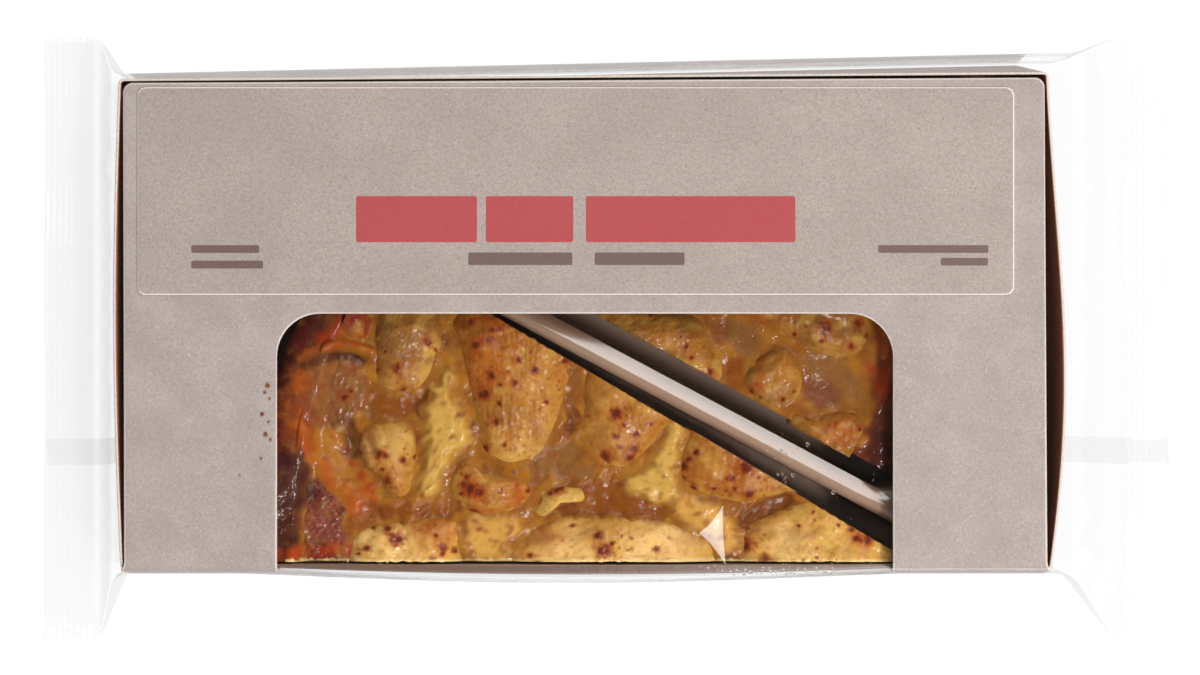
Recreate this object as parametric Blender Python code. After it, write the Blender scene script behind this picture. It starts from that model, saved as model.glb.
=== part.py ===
"""Two slices of apple tart, head to tail in a dark tray, inside a windowed paperboard carton.

Metres, +Z up. The origin is the middle of the carton's flat underside, +X runs to the right along
the carton and +Y to its back. The window opens the front of the lid and the top of the front wall.
The clear wrapper stands away from the carton only at its two ends, so it is two solids there.
"""

import math
import random

import bmesh
import bpy
from mathutils import Vector

MM = 0.001
CLEARANCE = 0.3 * MM

# Carton: outer corners of the walls, front left, front right, back right, back left
BOARD = 0.5 * MM
LID_TOP = 36.0 * MM
WALL_TOP = 35.7 * MM
FOLD_RADIUS = 2.0 * MM
CORNER_RADIUS = 1.2 * MM
FRONT = -50.9 * MM
FOOT_CORNERS = [(-95.6 * MM, FRONT), (96.0 * MM, FRONT), (93.2 * MM, 55.6 * MM), (-95.9 * MM, 51.4 * MM)]
TOP_CORNERS = [(-95.7 * MM, FRONT), (96.1 * MM, FRONT), (95.5 * MM, 52.1 * MM), (-96.1 * MM, 50.7 * MM)]
# Per wall, in the same order: points along it, outward bow of its top edge, and skew of the bow
WALLS = [(19, 0.0, 1.0), (11, 3.3 * MM, 1.36), (9, 0.0, 1.0), (9, 1.3 * MM, 1.0)]
CORNER_STEPS = 3
WALL_LEVELS = 3
LID_FRONT_SIDES = (-94.9 * MM, 95.2 * MM)
LID_BACK_SIDES = (-95.1 * MM, 94.6 * MM)
LID_BACK = (49.8 * MM, 50.9 * MM)
LID_CORNER_RADIUS = 2.0 * MM
TUCK_SIDES = (-71.0 * MM, 70.2 * MM)
TUCK_FOOT = 21.0 * MM
TUCK_SETBACK = 0.4 * MM

# Window: half width, back edge on the lid, lower edge on the front wall
WINDOW_HALF = 63.4 * MM
WINDOW_BACK = 2.3 * MM
WINDOW_SILL = 14.0 * MM
WINDOW_RADIUS = 8.9 * MM

# Label on the lid
LABEL_LEFT = -92.1 * MM
LABEL_RIGHT = 88.3 * MM
LABEL_FRONT = 6.2 * MM
LABEL_BACK = 48.9 * MM
LABEL_RADIUS = 1.5 * MM
LABEL_THICKNESS = 0.2 * MM

# Wrapper ends: distance from the carton, half width, half height and middle height of each section
FILM_INNER_X = (-97.6 * MM, 99.7 * MM)
FILM_CRIMP_X = (-103.3 * MM, 113.7 * MM)
FILM_TIP_X = (-113.9 * MM, 123.3 * MM)
FILM_FOOT_HALF = 51.2 * MM
FILM_CRIMP_HALF = 63.5 * MM
FILM_CRIMP_THICKNESS = 0.8 * MM
FILM_CRIMP_Z = 15.0 * MM
FILM_DRIFT_Y = -3.0 * MM
FILM_POINTS = 20

# Tray: two wedge pockets, turned half round about TRAY_MIDDLE, with a rounded ridge between
TRAY_WALL = 0.35 * MM
TRAY_FLOOR = BOARD + CLEARANCE + TRAY_WALL
TRAY_RIM = 30.0 * MM
TRAY_MIDDLE = Vector((0.0, -4.42 * MM))
TRAY_HALF_LENGTH = 93.6 * MM
TRAY_HALF_DEPTH = 45.63 * MM
TRAY_CORNER = 8.0 * MM
RIDGE_ANGLE = math.radians(27.97)
RIDGE_HALF_FOOT = 2.6 * MM
RIDGE_HALF_SHOULDER = 2.4 * MM
RIDGE_HALF_CREST = 0.3 * MM
POCKET_FRONT = -49.4 * MM
POCKET_END_CENTRE = Vector((57.4 * MM, -43.24 * MM))
POCKET_END_RADIUS = 139.5 * MM
POCKET_TIP_RADIUS = 2.9 * MM
POCKET_CORNER = 6.0 * MM
BULGE_FOOT_Z = 16.0 * MM
BULGE = 1.0 * MM
RIM_BULGE = 1.35 * MM

# Tart slices: one twelfth of a tart each
TART_RADIUS = 136.0 * MM
WEDGE_ANGLE = math.radians(30.5)
TIP_RADIUS = 1.5 * MM
SLICE_FOOT = TRAY_FLOOR + CLEARANCE
BASE_THICKNESS = 3.5 * MM
RIM_THICKNESS = 6.5 * MM
RIM_TOP = 30.6 * MM
RIM_LEAN = 2.0 * MM
PASTRY_STEPS = 22
CUSTARD_TOP = 27.0 * MM
CUSTARD_WAVE = 0.7 * MM
CUSTARD_RINGS = 20
CUSTARD_STEPS = 8
SLICES = {
    "front": {"apex": Vector((67.8 * MM, -49.1 * MM)), "heading": math.radians(180.0)},
    "back": {"apex": Vector((-57.4 * MM, 34.4 * MM)), "heading": math.radians(2.1)},
}

# Apple chunks: middle x and y, half length, half width and height in mm, and turn in degrees.
# The chunks press on each other, so each outline is swollen by APPLE_FILL and then meets its neighbours.
APPLE_FOOT = CUSTARD_TOP + CLEARANCE
APPLE_POINTS = 16
APPLE_EDGE_GAP = 0.4 * MM
APPLE_FILL = 1.18
APPLES = {
    "front": [
        (-16.1, -13.0, 12.2, 16.0, 4.2, -12),
        (-37.1, -6.2, 7.6, 9.2, 3.4, 10),
        (-51.5, -13.4, 7.4, 9.6, 3.0, 5),
        (-39.7, -24.7, 6.4, 9.2, 3.2, -15),
        (6.8, -20.6, 9.2, 11.0, 3.8, 15),
        (28.8, -29.2, 12.4, 7.9, 3.9, -26),
        (-17.5, -32.9, 11.8, 7.0, 3.6, -8),
        (-5.2, -35.4, 6.0, 4.0, 2.4, 20),
        (3.1, -45.0, 20.6, 5.8, 3.4, 2),
        (-31.9, -44.0, 13.2, 6.2, 3.3, -4),
        (47.4, -43.0, 17.0, 7.2, 3.5, -8),
        (-46.5, 7.0, 6.4, 5.6, 3.0, 0),
        (-54.5, -37.0, 6.8, 8.4, 2.8, 12),
    ],
    "back": [
        (47.4, 1.6, 14.6, 7.2, 4.0, -4),
        (41.5, -11.0, 10.4, 6.6, 3.4, -20),
        (56.0, -19.0, 8.4, 6.2, 3.6, -35),
        (15.4, -0.6, 12.6, 6.9, 3.7, -24),
        (-9.0, 18.6, 10.8, 7.0, 3.6, -24),
        (-31.0, 26.2, 10.6, 4.6, 3.0, -16),
        (12.0, 17.0, 9.8, 8.6, 3.9, 8),
        (34.0, 19.0, 10.4, 9.0, 3.7, -12),
        (58.5, 22.0, 9.4, 9.8, 3.4, 0),
        (64.5, 1.0, 5.2, 9.6, 3.0, 4),
        (37.5, 33.4, 12.0, 4.6, 3.2, 2),
        (9.0, 32.0, 13.0, 4.4, 3.0, 2),
    ],
}


def clear_scene():
    for old in list(bpy.data.objects):
        bpy.data.objects.remove(old, do_unlink=True)


def make_material(name, colour, roughness):
    material = bpy.data.materials.new(name)
    material.use_nodes = True
    shader = material.node_tree.nodes["Principled BSDF"]
    shader.inputs["Base Color"].default_value = (*colour, 1.0)
    shader.inputs["Roughness"].default_value = roughness
    shader.inputs["Metallic"].default_value = 0.0
    material.diffuse_color = (*colour, 1.0)
    return material


def add_object(name, bm, material, sharp_degrees=40):
    """Turns a bmesh into an object at the origin, with its place in its mesh."""
    mesh = bpy.data.meshes.new(name)
    bm.to_mesh(mesh)
    bm.free()
    mesh.materials.append(material)
    mesh.shade_smooth()
    mesh.set_sharp_from_angle(angle=math.radians(sharp_degrees))
    piece = bpy.data.objects.new(name, mesh)
    bpy.context.scene.collection.objects.link(piece)
    return piece


def add_boolean(piece, operand, operation):
    """Joins or cuts with a second object, which then stays as a guide."""
    operand.hide_render = True
    operand.display_type = "WIRE"
    modifier = piece.modifiers.new(operation.title(), "BOOLEAN")
    modifier.operation = operation
    modifier.solver = "EXACT"
    modifier.object = operand


def quad_strip(bm, row_a, row_b, closed):
    """Faces between two rows of as many vertices, all the way round where closed."""
    count = len(row_a)
    for i in range(count if closed else count - 1):
        j = (i + 1) % count
        bm.faces.new((row_a[i], row_a[j], row_b[j], row_b[i]))


def add_row(bm, points):
    return [bm.verts.new(point) for point in points]


def finish_faces(bm):
    bmesh.ops.recalc_face_normals(bm, faces=bm.faces[:])


def loft(rings, tip=None):
    """A closed solid through rings of points, capped at both ends, or drawn to a tip at the last."""
    bm = bmesh.new()
    rows = [add_row(bm, ring) for ring in rings]
    for lower, upper in zip(rows, rows[1:]):
        quad_strip(bm, lower, upper, closed=True)
    bm.faces.new(rows[0])
    if tip is None:
        bm.faces.new(rows[-1])
    else:
        tip_vertex = bm.verts.new(tip)
        count = len(rows[-1])
        for i in range(count):
            bm.faces.new((rows[-1][i], rows[-1][(i + 1) % count], tip_vertex))
    finish_faces(bm)
    return bm


def slab(upper, lower):
    """A closed solid between two grids of points of the same size."""
    bm = bmesh.new()
    upper_rows = [add_row(bm, row) for row in upper]
    lower_rows = [add_row(bm, row) for row in lower]
    for rows in (upper_rows, lower_rows):
        for row_a, row_b in zip(rows, rows[1:]):
            quad_strip(bm, row_a, row_b, closed=False)
    quad_strip(bm, upper_rows[0], lower_rows[0], closed=False)
    quad_strip(bm, upper_rows[-1], lower_rows[-1], closed=False)
    for end in (0, -1):
        quad_strip(bm, [row[end] for row in upper_rows], [row[end] for row in lower_rows], closed=False)
    finish_faces(bm)
    return bm


def mix(a, b, share):
    return a + (b - a) * share


def rounded_outline(corners, radii, steps):
    """A flat outline whose corners of a radius over zero become arcs of steps + 1 points."""
    outline = []
    count = len(corners)
    for i, corner in enumerate(corners):
        radius = radii[i]
        if radius == 0.0:
            outline.append(corner.copy())
            continue
        back = (corners[i - 1] - corner).normalized()
        ahead = (corners[(i + 1) % count] - corner).normalized()
        half_angle = back.angle(ahead) / 2
        middle = corner + (back + ahead).normalized() * (radius / math.sin(half_angle))
        reach = radius / math.tan(half_angle)
        first = corner + back * reach - middle
        turn = first.angle_signed(corner + ahead * reach - middle)
        for k in range(steps + 1):
            angle = -turn * k / steps
            swung = Vector((
                first.x * math.cos(angle) - first.y * math.sin(angle),
                first.x * math.sin(angle) + first.y * math.cos(angle),
            ))
            outline.append(middle + swung)
    return outline


def extruded(outline, low, high):
    return loft([[(p.x, p.y, low) for p in outline], [(p.x, p.y, high) for p in outline]])


def meet(point_a, way_a, point_b, way_b):
    """Where two flat lines cross, each given by a point and a direction."""
    cross = way_a.x * way_b.y - way_a.y * way_b.x
    apart = point_b - point_a
    return point_a + way_a * ((apart.x * way_b.y - apart.y * way_b.x) / cross)


def wall_loop(share, inset):
    """One loop of points round the carton's walls at a share of their height, moved in by inset."""
    corners = [Vector(foot).lerp(Vector(top), share) for foot, top in zip(FOOT_CORNERS, TOP_CORNERS)]
    ways = [(corners[(i + 1) % 4] - corners[i]).normalized() for i in range(4)]
    outs = [Vector((way.y, -way.x)) for way in ways]
    starts = [corners[i] - outs[i] * inset for i in range(4)]
    corners = [meet(starts[i - 1], ways[i - 1], starts[i], ways[i]) for i in range(4)]
    radius = CORNER_RADIUS - inset
    loop = []
    for i, (count, bow, skew) in enumerate(WALLS):
        start = corners[i] + ways[i] * radius
        end = corners[(i + 1) % 4] - ways[i] * radius
        top = LID_TOP - FOLD_RADIUS if i == 0 else WALL_TOP
        for k in range(count):
            along = k / (count - 1)
            push = bow * share ** 1.5 * math.sin(math.pi * along ** skew)
            loop.append((start.lerp(end, along) + outs[i] * push, top))
        following = (i + 1) % 4
        middle = end - outs[i] * radius
        next_top = LID_TOP - FOLD_RADIUS if following == 0 else WALL_TOP
        for k in range(1, CORNER_STEPS):
            around = k / CORNER_STEPS
            way = (outs[i] * (1 - around) + outs[following] * around).normalized()
            loop.append((middle + way * radius, mix(top, next_top, around)))
    return loop


def wall_rows(bm, inset):
    """Vertex rows of the walls from foot to top; the foot stands at the board's own thickness inside."""
    rows = []
    for level in range(WALL_LEVELS + 1):
        share = level / WALL_LEVELS
        points = [(p.x, p.y, mix(inset, top, share)) for p, top in wall_loop(share, inset)]
        rows.append(add_row(bm, points))
    return rows


def lid_sections():
    """Share of the lid's depth, distance in from the back corner's arc, and fold angle, row by row."""
    sections = [("fold", math.radians(angle)) for angle in (30, 60, 90)]
    sections += [("flat", share) for share in (0.25, 0.5, 0.75)]
    sections += [("back", LID_CORNER_RADIUS * share) for share in (1.0, 0.5, 0.2, 0.05, 0.0)]
    return sections


def lid_point(section, across, under):
    """A point of the lid: across runs 0 to 1 from left to right, under is the depth below its top."""
    kind, value = section
    left = LID_FRONT_SIDES[0]
    right = LID_FRONT_SIDES[1]
    fold_y = FRONT + FOLD_RADIUS
    if kind == "fold":
        radius = FOLD_RADIUS - under
        height = LID_TOP - FOLD_RADIUS + radius * math.sin(value)
        return (mix(left, right, across), fold_y - radius * math.cos(value), height)
    back_y = mix(LID_BACK[0], LID_BACK[1], across)
    if kind == "flat":
        left = mix(left, LID_BACK_SIDES[0], value)
        right = mix(right, LID_BACK_SIDES[1], value)
        return (mix(left, right, across), mix(fold_y, back_y, value), LID_TOP - under)
    inset = LID_CORNER_RADIUS - math.sqrt(LID_CORNER_RADIUS ** 2 - (LID_CORNER_RADIUS - value) ** 2)
    left = LID_BACK_SIDES[0] + inset
    right = LID_BACK_SIDES[1] - inset
    return (mix(left, right, across), back_y - value, LID_TOP - under)


def carton_body():
    """Base, four walls and the lid that folds over from the front wall, as one closed sheet of board."""
    bm = bmesh.new()
    outer = wall_rows(bm, 0.0)
    inner = wall_rows(bm, BOARD)
    for rows in (outer, inner):
        for lower, upper in zip(rows, rows[1:]):
            quad_strip(bm, lower, upper, closed=True)
        bm.faces.new(rows[0])
    front_count = WALLS[0][0]
    around = len(outer[-1])
    rim_outer = outer[-1][front_count - 1:] + outer[-1][:1]
    rim_inner = inner[-1][front_count - 1:] + inner[-1][:1]
    assert len(rim_outer) == around - front_count + 2
    quad_strip(bm, rim_outer, rim_inner, closed=False)
    last_outer = outer[-1][:front_count]
    last_inner = inner[-1][:front_count]
    for section in lid_sections():
        shares = [i / (front_count - 1) for i in range(front_count)]
        row_outer = add_row(bm, [lid_point(section, share, 0.0) for share in shares])
        row_inner = add_row(bm, [lid_point(section, share, BOARD) for share in shares])
        quad_strip(bm, last_outer, row_outer, closed=False)
        quad_strip(bm, last_inner, row_inner, closed=False)
        for end in (0, -1):
            bm.faces.new((last_outer[end], last_inner[end], row_inner[end], row_outer[end]))
        last_outer = row_outer
        last_inner = row_inner
    quad_strip(bm, last_outer, last_inner, closed=False)
    finish_faces(bm)
    return bm


def tuck_flap():
    """The lid's tuck flap, standing just inside the back wall and reaching up into the lid's board."""
    rows = []
    for setback in (TUCK_SETBACK, TUCK_SETBACK + BOARD):
        row = []
        for height in (TUCK_FOOT, LID_TOP - BOARD / 2):
            line = []
            for x in TUCK_SIDES:
                across = (x - LID_BACK_SIDES[0]) / (LID_BACK_SIDES[1] - LID_BACK_SIDES[0])
                line.append((x, mix(LID_BACK[0], LID_BACK[1], across) - setback, height))
            row.append(line)
        rows.append(row)
    return slab(rows[0], rows[1])


def window_cutter():
    """An L-shaped bar that cuts lid, fold and front wall at once, with its outer corners rounded."""
    inside_wall = FRONT + 4 * BOARD
    under_lid = LID_TOP - 4 * BOARD
    above = LID_TOP + 4 * BOARD
    before = FRONT - 12 * BOARD
    profile = [
        (WINDOW_BACK, above), (before, above), (before, WINDOW_SILL),
        (inside_wall, WINDOW_SILL), (inside_wall, under_lid), (WINDOW_BACK, under_lid),
    ]
    bm = loft([[(x, y, z) for y, z in profile] for x in (-WINDOW_HALF, WINDOW_HALF)])
    rounded = []
    for edge in bm.edges:
        a, b = (vertex.co for vertex in edge.verts)
        at_back = abs(a.y - WINDOW_BACK) < CLEARANCE and abs(b.y - WINDOW_BACK) < CLEARANCE
        at_sill = abs(a.z - WINDOW_SILL) < CLEARANCE and abs(b.z - WINDOW_SILL) < CLEARANCE
        upright = abs(a.x - b.x) < CLEARANCE
        if upright and (at_back or at_sill):
            rounded.append(edge)
    bmesh.ops.bevel(bm, geom=rounded, offset=WINDOW_RADIUS, segments=6, profile=0.5, affect="EDGES")
    finish_faces(bm)
    return bm


def build_carton(board):
    carton = add_object("carton", carton_body(), board, sharp_degrees=60)
    add_boolean(carton, add_object("tuck_guide", tuck_flap(), board), "UNION")
    add_boolean(carton, add_object("window_cutter", window_cutter(), board), "DIFFERENCE")


def build_label(paper):
    corners = [
        Vector((LABEL_LEFT, LABEL_FRONT)), Vector((LABEL_RIGHT, LABEL_FRONT)),
        Vector((LABEL_RIGHT, LABEL_BACK)), Vector((LABEL_LEFT, LABEL_BACK)),
    ]
    outline = rounded_outline(corners, [LABEL_RADIUS] * 4, 3)
    low = LID_TOP + CLEARANCE
    add_object("label", extruded(outline, low, low + LABEL_THICKNESS), paper)


def film_section(x, half_width, half_height, middle_y, middle_z, squareness):
    """A ring of the wrapper's end: a superellipse, squarer next to the carton."""
    ring = []
    for k in range(FILM_POINTS):
        angle = 2 * math.pi * (k + 0.5) / FILM_POINTS
        side = math.copysign(abs(math.cos(angle)) ** squareness, math.cos(angle))
        rise = math.copysign(abs(math.sin(angle)) ** squareness, math.sin(angle))
        ring.append((x, middle_y + half_width * side, middle_z + half_height * rise))
    return ring


def build_film_end(name, end, film):
    """The wrapper folds in from the carton's end to a flat crimped seal."""
    carton_middle = LID_TOP / 2 + CLEARANCE
    half_height = LID_TOP / 2
    rings = []
    for share in (0.0, 0.35, 0.7, 1.0):
        x = mix(FILM_INNER_X[end], FILM_CRIMP_X[end], share)
        width = mix(FILM_FOOT_HALF, FILM_CRIMP_HALF, share)
        height = mix(half_height, FILM_CRIMP_THICKNESS / 2, share)
        middle_z = mix(carton_middle, FILM_CRIMP_Z, share)
        rings.append(film_section(x, width, height, FILM_DRIFT_Y * share, middle_z, mix(0.35, 0.6, share)))
    rings.append(film_section(
        FILM_TIP_X[end], FILM_CRIMP_HALF, FILM_CRIMP_THICKNESS / 2, FILM_DRIFT_Y, FILM_CRIMP_Z, 0.6))
    add_object(name, loft(rings), film, sharp_degrees=30)


def ridge_side(distance):
    """The line beside the ridge's crest at a distance towards the front pocket: point and direction."""
    along = Vector((math.cos(RIDGE_ANGLE), -math.sin(RIDGE_ANGLE)))
    towards_front = Vector((-math.sin(RIDGE_ANGLE), -math.cos(RIDGE_ANGLE)))
    return TRAY_MIDDLE + towards_front * distance, along


def pocket_outline(front, ridge, end_radius, tip_radius, bulge):
    """The front pocket's outline: along the ridge, round its far end, back along the front wall."""
    ridge_point, ridge_way = ridge_side(ridge)
    tip = meet(ridge_point, ridge_way, Vector((0.0, front)), Vector((1.0, 0.0)))
    end_low = Vector((
        POCKET_END_CENTRE.x - math.sqrt(end_radius ** 2 - (front - POCKET_END_CENTRE.y) ** 2), front))
    offset = ridge_point - POCKET_END_CENTRE
    along = offset.dot(ridge_way)
    reach = -along - math.sqrt(along ** 2 - offset.length_squared + end_radius ** 2)
    end_high = ridge_point + ridge_way * reach
    corners = [tip]
    radii = [tip_radius]
    corners += [tip.lerp(end_high, share) for share in (0.35, 0.7)] + [end_high]
    radii += [0.0, 0.0, POCKET_CORNER]
    first = math.atan2(end_high.y - POCKET_END_CENTRE.y, end_high.x - POCKET_END_CENTRE.x)
    last = math.atan2(end_low.y - POCKET_END_CENTRE.y, end_low.x - POCKET_END_CENTRE.x) + 2 * math.pi
    for k in range(2, 7):
        angle = mix(first, last, k / 8)
        corners.append(POCKET_END_CENTRE + Vector((math.cos(angle), math.sin(angle))) * end_radius)
        radii.append(0.0)
    corners.append(end_low)
    radii.append(POCKET_CORNER)
    for k in range(11):
        x = mix(-WINDOW_HALF, WINDOW_HALF, k / 10)
        corners.append(Vector((x, front - bulge * (1 - (x / WINDOW_HALF) ** 2))))
        radii.append(0.0)
    return rounded_outline(corners, radii, 4)


def pocket_levels():
    """Height, ridge half width, growth of the pocket's end, front wall and bulge, floor to rim."""
    shoulder = TRAY_RIM - (RIDGE_HALF_SHOULDER - RIDGE_HALF_CREST)
    levels = [
        (TRAY_FLOOR, RIDGE_HALF_FOOT, 0.0, 0.0, 0.0),
        (BULGE_FOOT_Z, mix(RIDGE_HALF_FOOT, RIDGE_HALF_SHOULDER, 0.5), 0.5 * MM, 0.0, 0.0),
        (shoulder, RIDGE_HALF_SHOULDER, 1.0 * MM, 0.0, BULGE),
    ]
    rounding = RIDGE_HALF_SHOULDER - RIDGE_HALF_CREST
    for degrees in (25, 50, 75, 90):
        rise = math.sin(math.radians(degrees))
        spread = 1 - math.cos(math.radians(degrees))
        half = RIDGE_HALF_SHOULDER - rounding * spread
        growth = 1.0 * MM + rounding * spread
        levels.append((shoulder + rounding * rise, half, growth, 0.2 * MM * spread, BULGE))
    return levels


def turned_half(point):
    return TRAY_MIDDLE * 2 - point


def build_tray(plastic):
    """Two pockets and a flat flange as one skin, thickened downwards."""
    bm = bmesh.new()
    rim_edges = []
    for is_back in (False, True):
        rows = []
        for height, ridge, growth, out, bulge in pocket_levels():
            outline = pocket_outline(
                POCKET_FRONT - out, ridge, POCKET_END_RADIUS + growth, POCKET_TIP_RADIUS, bulge * (not is_back))
            if is_back:
                outline = [turned_half(point) for point in outline]
            rows.append(add_row(bm, [(p.x, p.y, height) for p in outline]))
        bm.faces.new(rows[0])
        for lower, upper in zip(rows, rows[1:]):
            quad_strip(bm, lower, upper, closed=True)
        count = len(rows[-1])
        rim_edges += [bm.edges.get((rows[-1][i], rows[-1][(i + 1) % count])) for i in range(count)]
    half = Vector((TRAY_HALF_LENGTH, TRAY_HALF_DEPTH))
    corners = [TRAY_MIDDLE + Vector((half.x * sx, half.y * sy)) for sx, sy in ((1, 1), (-1, 1), (-1, -1), (1, -1))]
    front_points = []
    for k in range(13):
        x = mix(-WINDOW_HALF, WINDOW_HALF, k / 12)
        push = RIM_BULGE * (1 - (x / WINDOW_HALF) ** 2)
        front_points.append(Vector((x, TRAY_MIDDLE.y - half.y - push)))
    outline = rounded_outline(
        corners[:3] + front_points + corners[3:], [TRAY_CORNER] * 3 + [0.0] * 13 + [TRAY_CORNER], 5)
    flange = add_row(bm, [(p.x, p.y, TRAY_RIM) for p in outline])
    count = len(flange)
    rim_edges += [bm.edges.new((flange[i], flange[(i + 1) % count])) for i in range(count)]
    filled = bmesh.ops.triangle_fill(bm, use_beauty=True, use_dissolve=False, edges=rim_edges, normal=(0, 0, 1))
    flange_faces = [item for item in filled["geom"] if isinstance(item, bmesh.types.BMFace)]
    finish_faces(bm)
    if flange_faces[0].normal.z < 0:
        bmesh.ops.reverse_faces(bm, faces=bm.faces[:])
    tray = add_object("tray", bm, plastic)
    modifier = tray.modifiers.new("Thickness", "SOLIDIFY")
    modifier.thickness = TRAY_WALL
    modifier.offset = -1.0
    modifier.use_even_offset = True


def wedge_end(piece, radius):
    """The far cut's angle at a radius: the wedge's own, or less where the ridge stands in its way."""
    crest_point, crest_way = ridge_side(0.0)
    apart = piece["apex"] - crest_point
    off_crest = abs(apart.x * crest_way.y - apart.y * crest_way.x)
    room = off_crest - RIDGE_HALF_FOOT - CLEARANCE
    ridge_heading = math.pi - RIDGE_ANGLE if piece["apex"].x > 0 else -RIDGE_ANGLE
    parallel = piece["heading"] - ridge_heading
    return min(WEDGE_ANGLE, parallel + math.asin(min(1.0, room / radius)))


def wedge_point(piece, radius, share, height):
    """A point of a slice: radius from its tip, share of the way from its first cut to its second."""
    angle = piece["heading"] - share * wedge_end(piece, radius)
    apex = piece["apex"]
    return (apex.x + radius * math.cos(angle), apex.y + radius * math.sin(angle), height)


def build_pastry(name, piece, crust, chance):
    """Pastry base and rim in one, with a ragged top to the rim."""
    floor = SLICE_FOOT + BASE_THICKNESS
    outer = TART_RADIUS
    inner = TART_RADIUS - RIM_THICKNESS
    rings = []
    for step in range(PASTRY_STEPS + 1):
        share = step / PASTRY_STEPS
        rise = chance.uniform(-0.7, 0.7) * MM
        swell = chance.uniform(-0.5, 0.4) * MM
        profile = [
            (TIP_RADIUS, SLICE_FOOT), (outer - RIM_LEAN, SLICE_FOOT), (outer - 0.4 * RIM_LEAN, RIM_TOP * 0.6),
            (outer + swell, RIM_TOP - 2.2 * MM), (outer - 1.2 * MM + swell, RIM_TOP - 0.5 * MM + rise),
            (outer - 3.2 * MM, RIM_TOP + rise), (inner - 0.2 * MM - swell, RIM_TOP - 1.2 * MM + 0.6 * rise),
            (inner - 0.8 * MM, CUSTARD_TOP - 1.0 * MM), (inner - RIM_LEAN, floor), (TIP_RADIUS, floor),
        ]
        rings.append([wedge_point(piece, radius, share, height) for radius, height in profile])
    add_object(name, loft(rings), crust)


def custard_height(x, y):
    """The custard's top: a level with shallow hollows that follow two crossed waves."""
    wave = math.sin(x / (5.2 * MM)) * math.cos(y / (4.1 * MM)) + math.sin((x - 2 * y) / (9.0 * MM))
    return CUSTARD_TOP - CUSTARD_WAVE * (0.5 + 0.25 * wave)


def build_custard(name, piece, custard):
    """The filling between base, rim and both cuts."""
    floor = SLICE_FOOT + BASE_THICKNESS + CLEARANCE
    reach_low = TART_RADIUS - RIM_THICKNESS - RIM_LEAN - CLEARANCE
    reach_high = TART_RADIUS - RIM_THICKNESS - 0.8 * MM - CLEARANCE
    upper = []
    lower = []
    for ring in range(CUSTARD_RINGS + 1):
        share_out = ring / CUSTARD_RINGS
        radius_high = mix(TIP_RADIUS, reach_high, share_out)
        radius_low = mix(TIP_RADIUS, reach_low, share_out)
        top_row = []
        low_row = []
        for step in range(CUSTARD_STEPS + 1):
            share = step / CUSTARD_STEPS
            x, y, _ = wedge_point(piece, radius_high, share, 0.0)
            top_row.append((x, y, custard_height(x, y)))
            low_row.append(wedge_point(piece, radius_low, share, floor))
        upper.append(top_row)
        lower.append(low_row)
    add_object(name, slab(upper, lower), custard)


def chunk_radius(chunk, angle, waves):
    """The chunk's own outline: a superellipse with two slow waves round it."""
    _, _, half_length, half_width, _, turn = chunk
    local = angle - math.radians(turn)
    power = 2.5
    long_part = abs(math.cos(local) / (half_length * MM)) ** power
    wide_part = abs(math.sin(local) / (half_width * MM)) ** power
    uneven = 1 + 0.06 * math.sin(2 * angle + waves[0]) + 0.05 * math.sin(3 * angle + waves[1])
    return APPLE_FILL * uneven * (long_part + wide_part) ** (-1 / power)


def line_limit(middle, way, line_point, line_out):
    """How far a ray runs before it crosses a line whose outward normal is line_out."""
    facing = way.dot(line_out)
    if facing < 1e-6:
        return math.inf
    return max(0.0, (line_point - middle).dot(line_out)) / facing


def chunk_limits(piece, chunks, index, way):
    """How far the chunk may reach: to its neighbours' halfway lines, both cuts and the pastry rim."""
    x, y, half_length, half_width = chunks[index][:4]
    middle = Vector((x, y)) * MM
    size = half_length + half_width
    limits = []
    for other, neighbour in enumerate(chunks):
        if other == index:
            continue
        apart = Vector(neighbour[:2]) * MM - middle
        share = size / (size + neighbour[2] + neighbour[3])
        border = middle + apart * share - apart.normalized() * (APPLE_EDGE_GAP / 2)
        limits.append(line_limit(middle, way, border, apart.normalized()))
    apex = piece["apex"]
    first_cut = piece["heading"]
    second_cut = piece["heading"] - WEDGE_ANGLE
    first_out = Vector((-math.sin(first_cut), math.cos(first_cut)))
    second_out = Vector((math.sin(second_cut), -math.cos(second_cut)))
    limits.append(line_limit(middle, way, apex, first_out))
    limits.append(line_limit(middle, way, apex, second_out))
    reach = TART_RADIUS - RIM_THICKNESS - 1.4 * MM
    offset = middle - apex
    along = offset.dot(way)
    limits.append(-along + math.sqrt(max(0.0, along ** 2 - offset.length_squared + reach ** 2)))
    return min(limits)


def build_apple(name, piece, chunks, index, apple, chance):
    """A chunk with a flat foot, straight sides where it is cut or meets a neighbour, and a domed top."""
    x, y, _, _, height, _ = chunks[index]
    waves = (chance.uniform(0, 2 * math.pi), chance.uniform(0, 2 * math.pi))
    ways = [2 * math.pi * k / APPLE_POINTS for k in range(APPLE_POINTS)]
    reaches = []
    for angle in ways:
        own = chunk_radius(chunks[index], angle, waves)
        limit = chunk_limits(piece, chunks, index, Vector((math.cos(angle), math.sin(angle))))
        reaches.append((min(own, limit), own))

    def ring(share):
        points = []
        for angle, (reach, own) in zip(ways, reaches):
            radius = reach * share
            crown = height * MM * (1 - 0.72 * (radius / own) ** 2.6)
            points.append((x * MM + radius * math.cos(angle), y * MM + radius * math.sin(angle), crown))
        return points

    foot = [(px, py, APPLE_FOOT) for px, py, _ in ring(1.0)]
    rings = [foot]
    for share in (1.0, 0.8, 0.45):
        rings.append([(px, py, APPLE_FOOT + crown) for px, py, crown in ring(share)])
    tip = (x * MM, y * MM, APPLE_FOOT + height * MM)
    add_object(name, loft(rings, tip), apple, sharp_degrees=50)


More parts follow.
